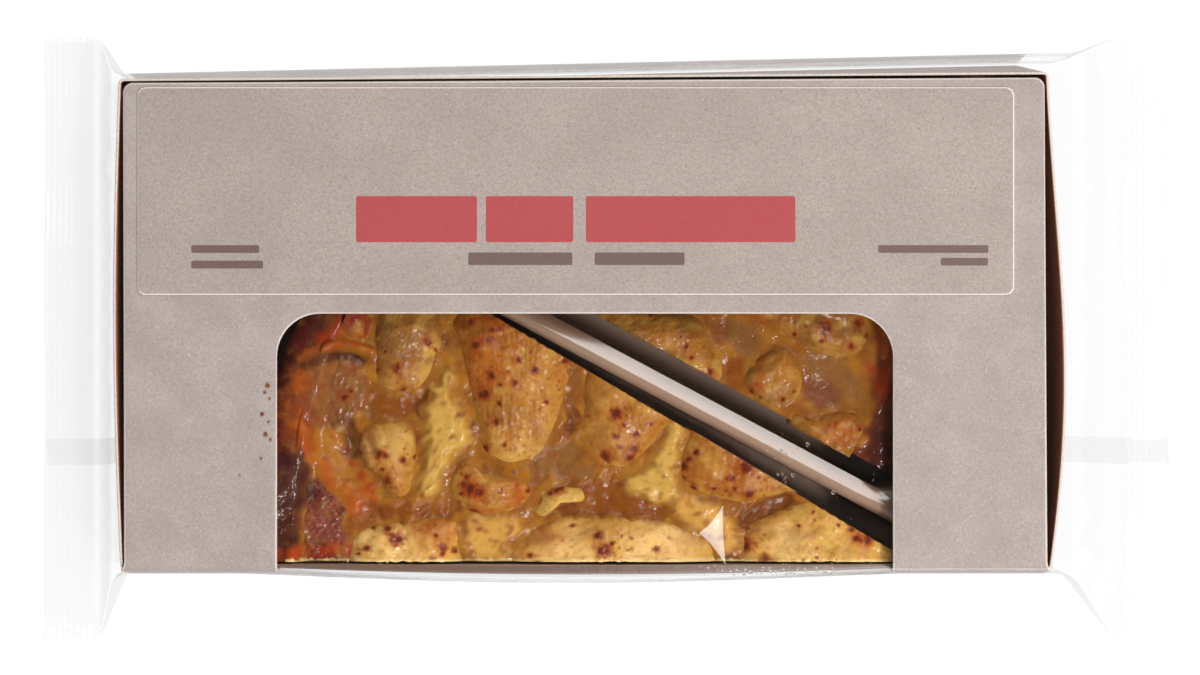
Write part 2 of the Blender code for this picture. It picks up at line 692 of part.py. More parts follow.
def build_slices(crust, custard, apple):
    for number, (place, piece) in enumerate(SLICES.items(), start=1):
        chance = random.Random(40 + number)
        build_pastry(f"pastry_{number}", piece, crust, chance)
        build_custard(f"custard_{number}", piece, custard)
        for index in range(len(APPLES[place])):
            name = f"apple_{number}_{index + 1:02d}"
            build_apple(name, piece, APPLES[place], index, apple, chance)


def main():
    clear_scene()
    board = make_material("uncoated_kraft_board", (0.46, 0.39, 0.37), 0.75)
    paper = make_material("label_paper", (0.43, 0.37, 0.33), 0.6)
    film = make_material("clear_wrapper", (0.85, 0.87, 0.88), 0.1)
    plastic = make_material("brown_tray_plastic", (0.028, 0.018, 0.014), 0.18)
    crust = make_material("baked_shortcrust", (0.33, 0.12, 0.045), 0.6)
    custard = make_material("baked_custard", (0.56, 0.33, 0.07), 0.35)
    apple = make_material("glazed_baked_apple", (0.6, 0.36, 0.12), 0.25)
    build_carton(board)
    build_label(paper)
    build_film_end("film_end_left", 0, film)
    build_film_end("film_end_right", 1, film)
    build_tray(plastic)
    build_slices(crust, custard, apple)


main()
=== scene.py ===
import bmesh
import bpy
import numpy as np
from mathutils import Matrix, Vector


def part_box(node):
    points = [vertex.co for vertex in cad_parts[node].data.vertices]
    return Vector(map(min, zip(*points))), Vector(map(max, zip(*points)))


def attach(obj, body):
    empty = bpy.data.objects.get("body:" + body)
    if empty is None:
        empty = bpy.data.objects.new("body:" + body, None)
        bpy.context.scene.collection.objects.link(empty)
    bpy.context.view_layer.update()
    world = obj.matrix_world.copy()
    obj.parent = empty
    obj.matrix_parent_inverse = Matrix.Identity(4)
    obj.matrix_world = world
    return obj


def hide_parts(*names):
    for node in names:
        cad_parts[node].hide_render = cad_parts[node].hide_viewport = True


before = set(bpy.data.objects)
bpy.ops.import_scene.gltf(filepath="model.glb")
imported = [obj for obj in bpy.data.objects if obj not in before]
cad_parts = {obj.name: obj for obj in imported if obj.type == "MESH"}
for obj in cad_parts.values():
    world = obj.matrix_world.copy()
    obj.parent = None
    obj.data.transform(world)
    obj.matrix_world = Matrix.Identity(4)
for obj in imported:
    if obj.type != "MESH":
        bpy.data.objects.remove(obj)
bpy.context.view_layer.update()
mm = 0.001
print("frame loaded:", len(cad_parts), "nodes")


# Colour and node helpers

def hexColour(code):
    # sRGB hex to linear light: c/12.92 below the knee, ((c + 0.055)/1.055)^2.4 above it
    c = np.array([int(code[i:i + 2], 16) for i in (1, 3, 5)]) / 255
    return (*np.where(c <= 0.04045, c / 12.92, ((c + 0.055) / 1.055) ** 2.4), 1.0)


def addNode(tree, kind, inputs=None, **settings):
    # Adds one node and returns its outputs. The settings are its own properties. An input, by name or number,
    # takes a plain value, a hex colour or the socket that feeds it.
    node = tree.nodes.new("ShaderNode" + kind)
    for key, value in settings.items():
        setattr(node, key, value)
    for key, value in (inputs or {}).items():
        if isinstance(value, bpy.types.NodeSocket):
            tree.links.new(value, node.inputs[key])
        else:
            node.inputs[key].default_value = hexColour(value) if isinstance(value, str) else value
    return node.outputs


def newMaterial(name):
    # A material and its node tree, emptied
    material = bpy.data.materials.new(name)
    material.use_nodes = True
    material.node_tree.nodes.clear()
    return material, material.node_tree


# A MapRange node set so fades in and out as share^2 * (3 - 2 * share), clamped
smooth = {"interpolation_type": "SMOOTHSTEP"}


# Mesh helpers

def gridFaces(rows, cols, wrapCols=False, start=0):
    # Quads of a rows x cols grid of points, each row closed on itself where wrapped
    r, c = np.meshgrid(np.arange(rows - 1), np.arange(cols if wrapCols else cols - 1), indexing="ij")
    nextC = (c + 1) % cols
    quads = np.stack([r * cols + c, r * cols + nextC, (r + 1) * cols + nextC, (r + 1) * cols + c], -1)
    return quads.reshape(-1, 4) + start


def makePiece(name, points, materials, quads=None, closed=False, attributes=None, slots=None,
              sharpDegrees=None):
    # A smooth mesh object in metres from points in mm: a grid, its rows closed or not, unless quads are given.
    # Doubles merge, and faces are turned outwards.
    mesh = bpy.data.meshes.new(name)
    quads = np.asarray(gridFaces(*points.shape[:2], closed) if quads is None else quads, np.int32)
    points = points.reshape(-1, 3) * mm
    mesh.vertices.add(len(points))
    mesh.vertices.foreach_set("co", points.astype(np.float32).ravel())
    mesh.loops.add(quads.size)
    mesh.loops.foreach_set("vertex_index", quads.ravel())
    mesh.polygons.add(len(quads))
    mesh.polygons.foreach_set("loop_start", np.arange(0, quads.size, 4, dtype=np.int32))
    if slots is not None:
        mesh.polygons.foreach_set("material_index", np.asarray(slots, np.int32))
    for key, values in (attributes or {}).items():
        colours = np.reshape(values, (len(points), -1)) * np.ones(3)
        opaque = np.column_stack([colours, np.ones(len(points))]).astype(np.float32)
        layer = mesh.attributes.new(key, "FLOAT_COLOR", "POINT")
        layer.data.foreach_set("color", opaque.ravel())
    mesh.update(calc_edges=True)
    mesh.validate()
    bm = bmesh.new()
    bm.from_mesh(mesh)
    bmesh.ops.remove_doubles(bm, verts=bm.verts[:], dist=1e-6)
    bmesh.ops.recalc_face_normals(bm, faces=bm.faces[:])
    bm.to_mesh(mesh)
    bm.free()
    for material in materials:
        mesh.materials.append(material)
    mesh.shade_smooth()
    if sharpDegrees is not None:
        mesh.set_sharp_from_angle(angle=np.radians(sharpDegrees))
    piece = bpy.data.objects.new(name, mesh)
    bpy.context.scene.collection.objects.link(piece)
    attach(piece, "root")
    return piece


def thicken(piece, thicknessMm, innerSlot=0, rimSlot=0):
    # A wall of real thickness, grown against the normals
    modifier = piece.modifiers.new("Thickness", "SOLIDIFY")
    modifier.thickness = thicknessMm * mm
    modifier.offset = -1.0
    modifier.use_even_offset = False
    modifier.material_offset = innerSlot
    modifier.material_offset_rim = rimSlot


def turnTowards(piece, way=None):
    # An open sheet has no outside of its own: its faces are turned so that most of their area faces the way
    # given, or away from the pack's middle as seen from above
    mesh = piece.data
    count = len(mesh.polygons)
    normals, centres, areas = np.zeros(count * 3), np.zeros(count * 3), np.zeros(count)
    for key, values in (("normal", normals), ("center", centres), ("area", areas)):
        mesh.polygons.foreach_get(key, values)
    ways = centres.reshape(-1, 3) * (1, 1, 0) if way is None else np.array(way, float)
    if ((normals.reshape(-1, 3) * ways).sum(1) * areas).sum() < 0:
        mesh.flip_normals()


def mixed(a, b, share):
    # a where the share is 0, b where it is 1
    return a + (b - a) * share


def smoothStep(low, high, value):
    # 0 below low, 1 above high, and share^2 * (3 - 2 * share) between
    share = np.clip((value - low) / (high - low), 0, 1)
    return share * share * (3 - 2 * share)


def resample(points, count, closed=False):
    # Points at even distances along a polyline
    points = np.asarray(points, float)
    if closed:
        points = np.vstack([points, points[:1]])
    steps = np.linalg.norm(np.diff(points, axis=0), axis=1)
    length = np.concatenate([[0.0], np.cumsum(steps)])
    wanted = np.linspace(0, length[-1], count + 1 if closed else count)
    if closed:
        wanted = wanted[:-1]
    return np.stack([np.interp(wanted, length, points[:, k]) for k in range(points.shape[1])], -1)


def fillet(corner, wayBack, wayAhead, radius, count=13):
    # Arc that rounds a corner, given unit directions along both sides; also how far it trims each side
    halfAngle = np.arccos(np.clip(wayBack @ wayAhead, -1, 1)) / 2
    reach = radius / np.tan(halfAngle)
    bisector = (wayBack + wayAhead) / np.linalg.norm(wayBack + wayAhead)
    middle = corner + bisector * radius / np.sin(halfAngle)
    first = corner + wayBack * reach - middle
    last = corner + wayAhead * reach - middle
    a = np.arctan2(first[1], first[0])
    turn = (np.arctan2(last[1], last[0]) - a + np.pi) % (2 * np.pi) - np.pi
    angles = a + turn * np.linspace(0, 1, count)
    return middle + radius * np.stack([np.cos(angles), np.sin(angles)], -1), reach


def wavesOf(x, y, size, seed):
    # Smooth unevenness of about -1 to 1: seven plane waves of random heading, length and phase, added up
    count = 7
    chance = np.random.default_rng(seed)
    total = np.zeros_like(np.asarray(x, float))
    for _ in range(count):
        heading = chance.uniform(0, 2 * np.pi)
        length = size * chance.uniform(0.7, 1.5)
        phase = chance.uniform(0, 2 * np.pi)
        total += np.sin(2 * np.pi * (x * np.cos(heading) + y * np.sin(heading)) / length + phase)
    return total / np.sqrt(count)


# Carton: folding boxboard with a kraft liner outside. Lid, front fold and front wall are one sheet.

cartonSize = {
    "board": 0.5, "foldRadius": 2.0, "footRadius": 0.9, "cornerRadius": 1.2,
    "lidTop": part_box("carton")[1].z / mm, "front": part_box("carton")[0].y / mm, "wallTop": 35.7,
    "lidFrontSides": (-94.9, 95.2), "lidBackSides": (-95.1, 94.6), "lidBack": (49.8, 50.9), "lidCorner": 2.0,
    "footCorners": ((-95.6, -50.9), (96.0, -50.9), (93.2, 55.6), (-95.9, 51.4)),
    "topCorners": ((-95.7, -50.9), (96.1, -50.9), (95.5, 52.1), (-96.1, 50.7)),
    "rightBow": 3.3, "rightSkew": 1.36, "leftBow": 1.3,
    "tuckSides": (-71.0, 70.2), "tuckFoot": 21.0,
    "windowHalf": 63.4, "windowBack": 2.3, "windowSill": 14.0, "windowRadius": 8.9,
    "glueFlap": 14.0, "pressedEdge": 0.7, "pressedDrops": (0.12, 0.03), "lidWaves": 0.10, "lidSag": 0.22,
}
foldY = cartonSize["front"] + cartonSize["foldRadius"]
foldArc = cartonSize["foldRadius"] * np.pi / 2
wallDrop = cartonSize["lidTop"] - cartonSize["foldRadius"]


def lidWarp(x, y):
    # The lid isn't dead flat: slow waves, a slight sag beside the window, flat at the folds
    waves = cartonSize["lidWaves"] * wavesOf(x, y, 90.0, 3)
    besideWindow = np.exp(-((np.abs(x) - 80) / 14) ** 2) * np.exp(-((y + 25) / 30) ** 2)
    hold = smoothStep(0, 12, y - foldY) * smoothStep(0, 8, 52 - y)
    return (waves - cartonSize["lidSag"] * besideWindow) * hold


def foldSheet(x, s):
    # Lays a flat sheet over the front fold. s runs along the sheet: over 0 it lies on the lid, within the
    # fold's arc it turns down, and below that it hangs as the front wall, then turns under at the foot.
    radius, foot = cartonSize["foldRadius"], cartonSize["footRadius"]
    turn = np.clip(-s / radius, 0, np.pi / 2)
    y = np.where(s >= 0, foldY + s, foldY - radius * np.sin(turn))
    z = np.where(s >= 0, cartonSize["lidTop"], wallDrop + radius * np.cos(turn))
    down = np.clip(-s - foldArc, 0, None)
    straight = wallDrop - foot
    under = np.clip((down - straight) / foot, 0, np.pi / 2)
    z = z - np.minimum(down, straight) - foot * np.sin(under)
    y = y + foot * (1 - np.cos(under))
    z = z + np.where(s >= 0, lidWarp(x, y), 0.0)
    return np.stack([x, y, z], -1)


def boardPiece(name, points, materials, way=None, share=1.0, **more):
    # A sheet of board of a share of the full thickness; the materials are its outside, inside and cut edge
    piece = makePiece(name, points, materials, **more)
    turnTowards(piece, way)
    thicken(piece, cartonSize["board"] * share, innerSlot=1, rimSlot=2)
    return piece


def sideRun(inner, outer, count):
    # Rows down one side of the sheet from its back corner to its foot, level across the fold
    marks = (0.0, 0.35, 0.75, 1.0)
    share = np.linspace(0, 1, count)
    foldHigh, foldLow = 3.0, -foldArc - 3.0
    return [np.interp(share, marks, (high, foldHigh, foldLow, low)) for low, high in (inner, outer)]


def lidOutlines():
    # The window's outline and the sheet's outer outline in flat coordinates (x, s), point for point,
    # from the back left corner round by the right side
    size = cartonSize
    half, radius, corner = size["windowHalf"], size["windowRadius"], size["lidCorner"]
    acrossCount, sideCount, footCorner = 90, 110, 1.0
    back = size["windowBack"] - foldY
    sill = -foldArc - (wallDrop - size["windowSill"])
    foot = -foldArc - (wallDrop - size["footRadius"]) - size["footRadius"] * np.pi / 2
    outBack = (size["lidBack"][0] - foldY, size["lidBack"][1] - foldY)
    quarter = np.linspace(0, np.pi / 2, 13)[1:-1]

    def loop(edges, corners):
        # the back, right, front and left edge, each followed by a quarter turn
        parts = []
        for edge, (x, s, r), start in zip(edges, corners, np.radians((90, 0, -90, 180))):
            parts.append(np.stack(np.broadcast_arrays(*edge), -1))
            parts.append(np.stack([x + r * np.cos(start - quarter), s + r * np.sin(start - quarter)], -1))
        return np.vstack(parts)

    def wallSide(s, isRight):
        # the side edge: straight on the lid, then over the fold it moves out to the wall's own width
        share = np.clip(s / outBack[0], 0, 1)
        onLid = mixed(size["lidFrontSides"][isRight], size["lidBackSides"][isRight], share)
        return mixed(onLid, size["topCorners"][isRight][0], smoothStep(0, foldArc, -s))

    inEnds = (sill + radius, back - radius)
    inSide, rightSide = sideRun(inEnds, (foot + footCorner, outBack[1] - corner), sideCount)
    leftSide = sideRun(inEnds, (foot + footCorner, outBack[0] - corner), sideCount)[1][::-1]
    wide = half - radius
    across = np.linspace(-wide, wide, acrossCount)
    inner = loop(((across, back), (half, inSide), (-across, sill), (-half, inSide[::-1])),
                 ((wide, back - radius, radius), (wide, sill + radius, radius),
                  (-wide, sill + radius, radius), (-wide, back - radius, radius)))
    left, right = size["lidBackSides"]
    backX = np.linspace(left + corner, right - corner, acrossCount)
    footRight = float(wallSide(foot, 1)) - footCorner
    footLeft = float(wallSide(foot, 0)) + footCorner
    outer = loop(((backX, np.interp(backX, (left, right), outBack)), (wallSide(rightSide, 1), rightSide),
                  (np.linspace(footRight, footLeft, acrossCount), foot), (wallSide(leftSide, 0), leftSide)),
                 ((right - corner, outBack[1] - corner, corner), (footRight, foot + footCorner, footCorner),
                  (footLeft, foot + footCorner, footCorner), (left + corner, outBack[0] - corner, corner)))
    return inner, outer


def buildLidSheet(materials):
    # Rings from the window's outline out to the sheet's edge, then folded. The die presses both edges down.
    inner, outer = lidOutlines()
    pressed = cartonSize["pressedEdge"] / np.linalg.norm(outer - inner, axis=1)[:, None]
    first = [0 * pressed, 0.5 * pressed, pressed]
    between = [mixed(pressed, 1 - pressed, s ** 1.15) for s in np.linspace(0, 1, 32)[1:-1]]
    share = np.array(first + between + [1 - s for s in first[::-1]])
    flat = mixed(inner[None], outer[None], share)
    points = foldSheet(flat[..., 0], flat[..., 1])
    for ring, drop in zip((0, 1, -1, -2), 2 * cartonSize["pressedDrops"]):
        points[ring, :, 2] -= drop * (flat[ring, :, 1] > 0)
    slots = np.zeros((len(share) - 1, len(inner)), int)
    slots[[0, -1]] = 2
    lid = boardPiece("carton_lid_and_front", points, materials, (0, 0, 1), closed=True, slots=slots.ravel())
    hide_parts("carton")


def wallPath(share, inset=0.0):
    # The walls seen from above at a share of their height: from the front left corner round the back to the
    # front right one. A side wall bows out as sin(pi * along); the back corners are quadratic curves.
    size = cartonSize
    corners = mixed(np.array(size["footCorners"]), np.array(size["topCorners"]), share)
    corners = corners - np.sign(corners - corners.mean(0)) * inset
    frontLeft, frontRight, backRight, backLeft = corners
    radius = size["cornerRadius"]
    sides = (
        (frontLeft, backLeft, -size["leftBow"], 1.0, 60),
        (backLeft, backRight, 0.0, 1.0, 90),
        (backRight, frontRight, size["rightBow"], size["rightSkew"], 60),
    )
    runs = []
    for start, end, push, skew, count in sides:
        span = np.linalg.norm(end - start)
        along = np.linspace(radius / span, 1 - radius / span, count)
        line = start + np.outer(along, end - start)
        line[:, 0] += push * share ** 1.5 * np.sin(np.pi * along ** skew)
        runs.append(line)
    t = np.linspace(0, 1, 9)[1:-1, None]
    arcs = [(1 - t) ** 2 * run[-1] + 2 * t * (1 - t) * corner + t ** 2 * ahead[0]
            for run, corner, ahead in zip(runs, (backLeft, backRight), runs[1:])]
    inside = size["board"] + 0.05

    def flap(corner, side):
        # a glue flap's run behind the front wall, from its free end out to the corner
        run = [[size["glueFlap"], inside], [1.2, inside], [0.2, inside + 0.25]]
        return corner + np.array(run) * (side, 1)

    around = [flap(frontLeft, 1), runs[0], arcs[0], runs[1], arcs[1], runs[2], flap(frontRight, -1)[::-1]]
    return np.vstack(around)


def buildWalls(materials):
    # Side walls, back wall and glue flaps in one strip; the foot turns in under the base
    board, foot = cartonSize["board"], cartonSize["footRadius"]
    foldInside = cartonSize["foldRadius"] - board - 0.15
    rows = []
    for angle in np.radians((90, 60, 30, 0)):
        path = wallPath(0.0, inset=foot * (1 - np.cos(angle)))
        rows.append(np.column_stack([path, np.full(len(path), foot * (1 - np.sin(angle)))]))
    for share in np.linspace(0, 1, 26)[1:]:
        path = wallPath(share)
        # under the front fold the top follows the inside of the fold's arc
        ahead = np.clip((foldY - path[:, 1]) / foldInside, 0, 1)
        underFold = wallDrop + foldInside * np.sqrt(1 - ahead ** 2)
        height = mixed(foot, np.minimum(cartonSize["wallTop"], underFold), share)
        edge = 0.06 * wavesOf(path[:, 0], path[:, 1], 60.0, 8) if share == 1 else 0.0
        rows.append(np.column_stack([path, height + edge * (ahead == 0)]))
    boardPiece("carton_side_and_back_walls", np.array(rows), materials)

    # the base is a flat panel between the turned feet
    corners = np.array(cartonSize["footCorners"])
    corners = corners - np.sign(corners) * (foot + 0.02)
    u = np.linspace(0, 1, 40)[:, None, None]
    v = np.linspace(0, 1, 24)[None, :, None]
    flat = mixed(mixed(corners[0], corners[1], u), mixed(corners[3], corners[2], u), v)
    points = np.concatenate([flat, np.zeros(flat.shape[:2] + (1,))], -1)
    boardPiece("carton_base", points, materials, (0, 0, -1))

    # the lid's tuck flap: a short bend under the lid's back edge, then straight down
    x = np.linspace(*cartonSize["tuckSides"], 80)
    backY = np.interp(x, cartonSize["lidBackSides"], cartonSize["lidBack"]) - 0.45
    profile = [(1.6, 0.0), (0.9, 0.03), (0.45, 0.16), (0.16, 0.45), (0.03, 0.9)]
    profile += [(0.0, drop) for drop in np.linspace(1.6, 15.5, 16)]
    inside = cartonSize["lidTop"] - board
    points = [np.stack([x, backY - setback, np.full(80, inside - drop)], -1) for setback, drop in profile]
    boardPiece("carton_tuck_flap", np.array(points), materials, (0, 1, 0), 0.9)


# Label: paper on the lid, with plain printed fields

labelSize = {
    "left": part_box("label")[0].x / mm, "right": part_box("label")[1].x / mm,
    "front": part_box("label")[0].y / mm, "back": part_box("label")[1].y / mm,
    "radius": 1.5, "top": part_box("label")[1].z / mm,
}


def buildLabel(material):
    # Rings from the label's outline to its middle line; the edge bends down onto the board
    size = labelSize
    corners = np.array([[size["left"], size["front"]], [size["right"], size["front"]],
                        [size["right"], size["back"]], [size["left"], size["back"]]])
    arcs = []
    for corner, before, after in zip(corners, np.roll(corners, 1, 0), np.roll(corners, -1, 0)):
        back, ahead = (way / np.linalg.norm(way) for way in (before - corner, after - corner))
        arcs.append(fillet(corner, back, ahead, size["radius"], 9)[0])
    outline = resample(np.vstack(arcs), 420, closed=True)
    reach = 0.5 * (size["back"] - size["front"])
    spineX = np.clip(outline[:, 0], size["left"] + reach, size["right"] - reach)
    spine = np.stack([spineX, np.full(len(outline), (size["front"] + size["back"]) / 2)], -1)
    insets = np.concatenate([[0.0, 0.0, 0.004, 0.012, 0.03], np.linspace(0.06, 1.0, 22)])
    drops = np.concatenate([[size["top"] - cartonSize["lidTop"], 0.22, 0.08, 0.02, 0.0], np.zeros(22)])
    flat = mixed(outline[None], spine[None], insets[:, None, None])
    z = size["top"] - drops[:, None] + lidWarp(flat[..., 0], flat[..., 1])
    points = np.concatenate([flat, z[..., None]], -1)
    # the outermost rings, the bent-down cut edge, carry a painted highlight
    cut = np.repeat(insets < 0.01, len(outline)) * 1.0
    label = makePiece("paper_label", points, [material], closed=True, attributes={"cut": cut})
    turnTowards(label, (0, 0, 1))
    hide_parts("label")


# Wrapper: clear film drawn round the carton and crimped flat at both ends

filmSize = {
    "gap": 0.35, "cornerRadius": 1.6, "left": (-97.6, -103.3, -113.9), "right": (99.7, 113.7, 123.3),
    "crimpHalf": 63.5, "crimpZ": 15.0, "drift": -3.0, "crimpHalfHeight": 0.18,
    "top": 36.9, "bottom": -0.08, "frontBulge": 1.9, "slack": 0.05, "pleats": 0.7,
    "ribDepth": 0.16, "ribPitch": 1.25, "finWave": 0.9, "sealY": (-29.0, -23.5), "sealFilm": 0.06,
    "facet": ((28.4, -37.1), (23.5, -42.8), (29.0, -49.4)),
}


def filmBox(x):
    # The hugging section's front and back at each x: it bulges before the window and follows the back wall
    backRight, backLeft = cartonSize["footCorners"][2:]
    bulge = filmSize["frontBulge"] * np.clip(1 - ((x + 3) / 68) ** 2, 0, 1) ** 1.3
    back = np.interp(x, (backLeft[0], backRight[0]), (backLeft[1], backRight[1]))
    return cartonSize["front"] - filmSize["gap"] - bulge, back + filmSize["gap"]


def filmSection(front, back, bottom, top, radius):
    # A rounded rectangle in (y, z), walked from the front top corner over the top to the back and round
    wide, tall = 120, 40
    box = (top, bottom, front, back, radius)
    top, bottom, front, back, radius = (np.asarray(value, float)[..., None] for value in box)
    t = np.linspace(0, 1, wide, endpoint=False)
    q = np.linspace(0, 1, tall, endpoint=False)
    y = np.concatenate([mixed(front, back, t), np.repeat(back, tall, -1),
                        mixed(back, front, t), np.repeat(front, tall, -1)], -1)
    z = np.concatenate([np.repeat(top, wide, -1), mixed(top, bottom, q),
                        np.repeat(bottom, wide, -1), mixed(bottom, top, q)], -1)
    # rounding: pull each point into the inset rectangle, then push it out by the radius
    cy = np.clip(y, front + radius, back - radius)
    cz = np.clip(z, bottom + radius, top - radius)
    dy, dz = y - cy, z - cz
    reach = np.sqrt(dy ** 2 + dz ** 2)
    scale = np.where(reach > 1e-9, np.minimum(1.0, radius / np.maximum(reach, 1e-9)), 1.0)
    return cy + dy * scale, cz + dz * scale


def buildFilm(material):
    # The film's section swept along x: a fin, an end that pinches shut, the hugging body, and the same again
    size = filmSize
    left, right = size["left"], size["right"]
    x = np.concatenate([np.linspace(left[2], left[1], 40, endpoint=False),
                        np.linspace(left[1], left[0], 31)[:-1], np.linspace(left[0], right[0], 150),
                        np.linspace(right[0], right[1], 42)[1:], np.linspace(right[1], right[2], 41)[1:]])
    pinch = np.where(x < 0, smoothStep(left[0] + 1.5, left[1], x), smoothStep(right[0] - 1.5, right[1], x))
    front, back = filmBox(x)
    frontX = mixed(front, size["drift"] - size["crimpHalf"], pinch)
    backX = mixed(back, size["drift"] + size["crimpHalf"], pinch)
    topX = mixed(size["top"], size["crimpZ"] + size["crimpHalfHeight"], pinch)
    bottomX = mixed(size["bottom"], size["crimpZ"] - size["crimpHalfHeight"], pinch)
    radius = np.minimum(size["cornerRadius"], (topX - bottomX) * 0.45)
    y, z = filmSection(frontX, backX, bottomX, topX, radius)
    xs = np.repeat(x[:, None], y.shape[1], 1)
    # over the lid the film lies on board and label; pleats fan in from both crimps
    z = z + smoothStep(36.0, 36.8, z) * (lidWarp(xs, y) + size["slack"] * wavesOf(xs, y, 26.0, 21))
    pleat = wavesOf(xs * 0.35, y, 9.0, 5) + 0.6 * wavesOf(xs * 0.2, y, 4.5, 6)
    swell = np.sin(np.pi * smoothStep(0.0, 1.0, pinch)[:, None])
    z = z + size["pleats"] * swell * pleat * np.where(z > size["crimpZ"], 1, 0.5)
    # crimped fins: shallow ribs across the seal, and a slow wave along it
    fin = np.where(x < 0, smoothStep(left[1] + 0.3, left[1] - 0.8, x),
                   smoothStep(right[1] - 0.3, right[1] + 0.8, x))[:, None]
    ribs = size["ribDepth"] * np.sin(2 * np.pi * xs / size["ribPitch"])
    z = z + fin * (ribs + size["finWave"] * wavesOf(xs * 0.15, y, 46.0, 31))
    film = makePiece("clear_wrapper", np.stack([xs, y, z], -1), [material], closed=True,
                     attributes={"pressed": fin * np.ones_like(z)})
    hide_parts("film_end_left", "film_end_right")


def buildSealStrip(material):
    # The back seal: a flat double strip of film under the pack, from crimp to crimp
    left, right = filmSize["left"], filmSize["right"]
    high, low = filmSize["crimpZ"] - 0.45, filmSize["bottom"] - 0.02
    x = np.linspace(left[2] + 0.4, right[2] - 0.4, 240)
    lift = np.interp(x, (left[1], left[0], right[0], right[1]), (high, low, low, high))
    xs, ys = np.meshgrid(x, np.linspace(*filmSize["sealY"], 12), indexing="ij")
    z = np.repeat(lift[:, None], 12, 1)
    points = np.stack([xs, ys + 0.3 * wavesOf(xs, 0 * ys, 60.0, 41), z], -1)
    strip = makePiece("wrapper_back_seal", points, [material], attributes={"pressed": np.full(z.size, 0.35)})
    turnTowards(strip, (0, 0, -1))
    thicken(strip, filmSize["sealFilm"])


def buildCreaseFacet(material):
    # A facet between three creases of the film over the window, with sides that curve in
    corners = np.array(filmSize["facet"])
    middle = corners.mean(0)
    t = np.linspace(0, 1, 24, endpoint=False)[:, None]
    sides = []
    for start, end in zip(corners, np.roll(corners, -1, 0)):
        bent = mixed((start + end) / 2, middle, 0.3)  # quadratic curve through this control point
        sides.append((1 - t) ** 2 * start + 2 * t * (1 - t) * bent + t ** 2 * end)
    loop = np.vstack(sides)
    share = np.linspace(1, 0, 8)[:, None, None]
    flat = mixed(middle, loop[None], share)
    height = np.full(flat.shape[:2] + (1,), filmSize["top"] + 0.12) + 0.1 * (1 - share)
    facet = makePiece("wrapper_crease_facet", np.concatenate([flat, height], -1), [material], closed=True)
    turnTowards(facet, (0, 0, 1))


def scatter(name, places, radii, heights, flatness, material, seed, rings=4, spokes=8, uneven=0.0):
    # Many small lumps in one mesh: closed ellipsoids, flattened by a factor, at the places given
    chance = np.random.default_rng(seed)
    tilt = np.linspace(0, np.pi, rings * 2 + 1)
    around = np.linspace(0, 2 * np.pi, spokes, endpoint=False)
    unit = np.stack([np.sin(tilt)[:, None] * np.cos(around), np.sin(tilt)[:, None] * np.sin(around),
                     np.cos(tilt)[:, None] * flatness * np.ones(spokes)], -1)
    points, quads = [], []
    for index, ((x, y), radius, height) in enumerate(zip(places, radii, heights)):
        lump = unit * radius * (1 + uneven * chance.uniform(-1, 1, unit.shape[:2])[..., None])
        lump[0], lump[-1] = lump[0].mean(0), lump[-1].mean(0)
        points.append(lump.reshape(-1, 3) * (1, chance.uniform(0.8, 1.0), 1) + (x, y, height))
        quads.append(gridFaces(len(tilt), spokes, wrapCols=True, start=index * len(tilt) * spokes))
    return makePiece(name, np.vstack(points), [material], np.vstack(quads))


# Condensation inside the film: x, y, spread along x and y, count, smallest and largest radius in mm
droplets = (
    (40.5, -29.5, 1.3, 2.6, 26, 0.16, 0.42),
    (51.3, -34.8, 0.3, 0.3, 1, 0.5, 0.5),
    (45.9, -25.1, 0.3, 0.3, 1, 0.45, 0.5),
    (20.0, -16.5, 7.5, 4.2, 26, 0.08, 0.2),
    (38.0, -24.0, 9.0, 5.0, 34, 0.08, 0.2),
    (54.0, -33.0, 5.0, 3.0, 16, 0.08, 0.22),
    (42.0, -50.6, 8.5, 0.7, 60, 0.12, 0.42),
    (32.0, -50.8, 5.5, 0.5, 34, 0.1, 0.32),
    (-30.0, -47.6, 14.0, 1.0, 26, 0.08, 0.22),
    (45.0, -44.0, 6.0, 2.6, 14, 0.12, 0.34),
    (-44.0, -47.5, 7.0, 0.9, 22, 0.1, 0.26),
    (-10.0, -38.0, 26.0, 7.0, 60, 0.06, 0.14),
)
# Crumbs on the lid: x, y and radius in mm
crumbs = (
    (-65.3, -12.6, 0.5), (-65.8, -13.9, 0.35), (-64.9, -15.2, 0.28), (-66.4, -18.4, 0.42), (-65.1, -19.9, 0.3),
    (-65.7, -22.6, 0.5), (-64.7, -23.6, 0.3), (-66.6, -27.5, 0.25), (-58.0, -46.9, 0.3), (-71.0, -31.0, 0.2),
)


def buildScattered(water, baked):
    # Each cluster of drops is normal about its middle; radii run from small to large by the square of chance
    chance = np.random.default_rng(90)
    places, radii = [], []
    for x, y, alongX, alongY, count, small, large in droplets:
        places.append(np.stack([chance.normal(x, alongX, count), chance.normal(y, alongY, count)], -1))
        radii.append(mixed(small, large, chance.uniform(0, 1, count) ** 2))
    places, radii = np.vstack(places), np.concatenate(radii)
    inside = (places[:, 1] > -51.5) & (np.abs(places[:, 0]) < cartonSize["windowHalf"] - 1)
    places, radii = places[inside], radii[inside]
    under = np.full(len(radii), filmSize["top"] - 0.25)
    drops = scatter("condensation_drops", places, radii, under, 0.45, water, 91)
    spots = np.array(crumbs)
    onLid = cartonSize["lidTop"] + 0.25 * spots[:, 2]
    bits = scatter("pastry_crumbs", spots[:, :2], spots[:, 2], onLid, 0.6, baked, 92, 3, 9, 0.25)
    print("droplets and crumbs scattered:", len(radii) + len(spots))


# Tray: thermoformed brown plastic, two wedge pockets head to tail with a rounded ridge between

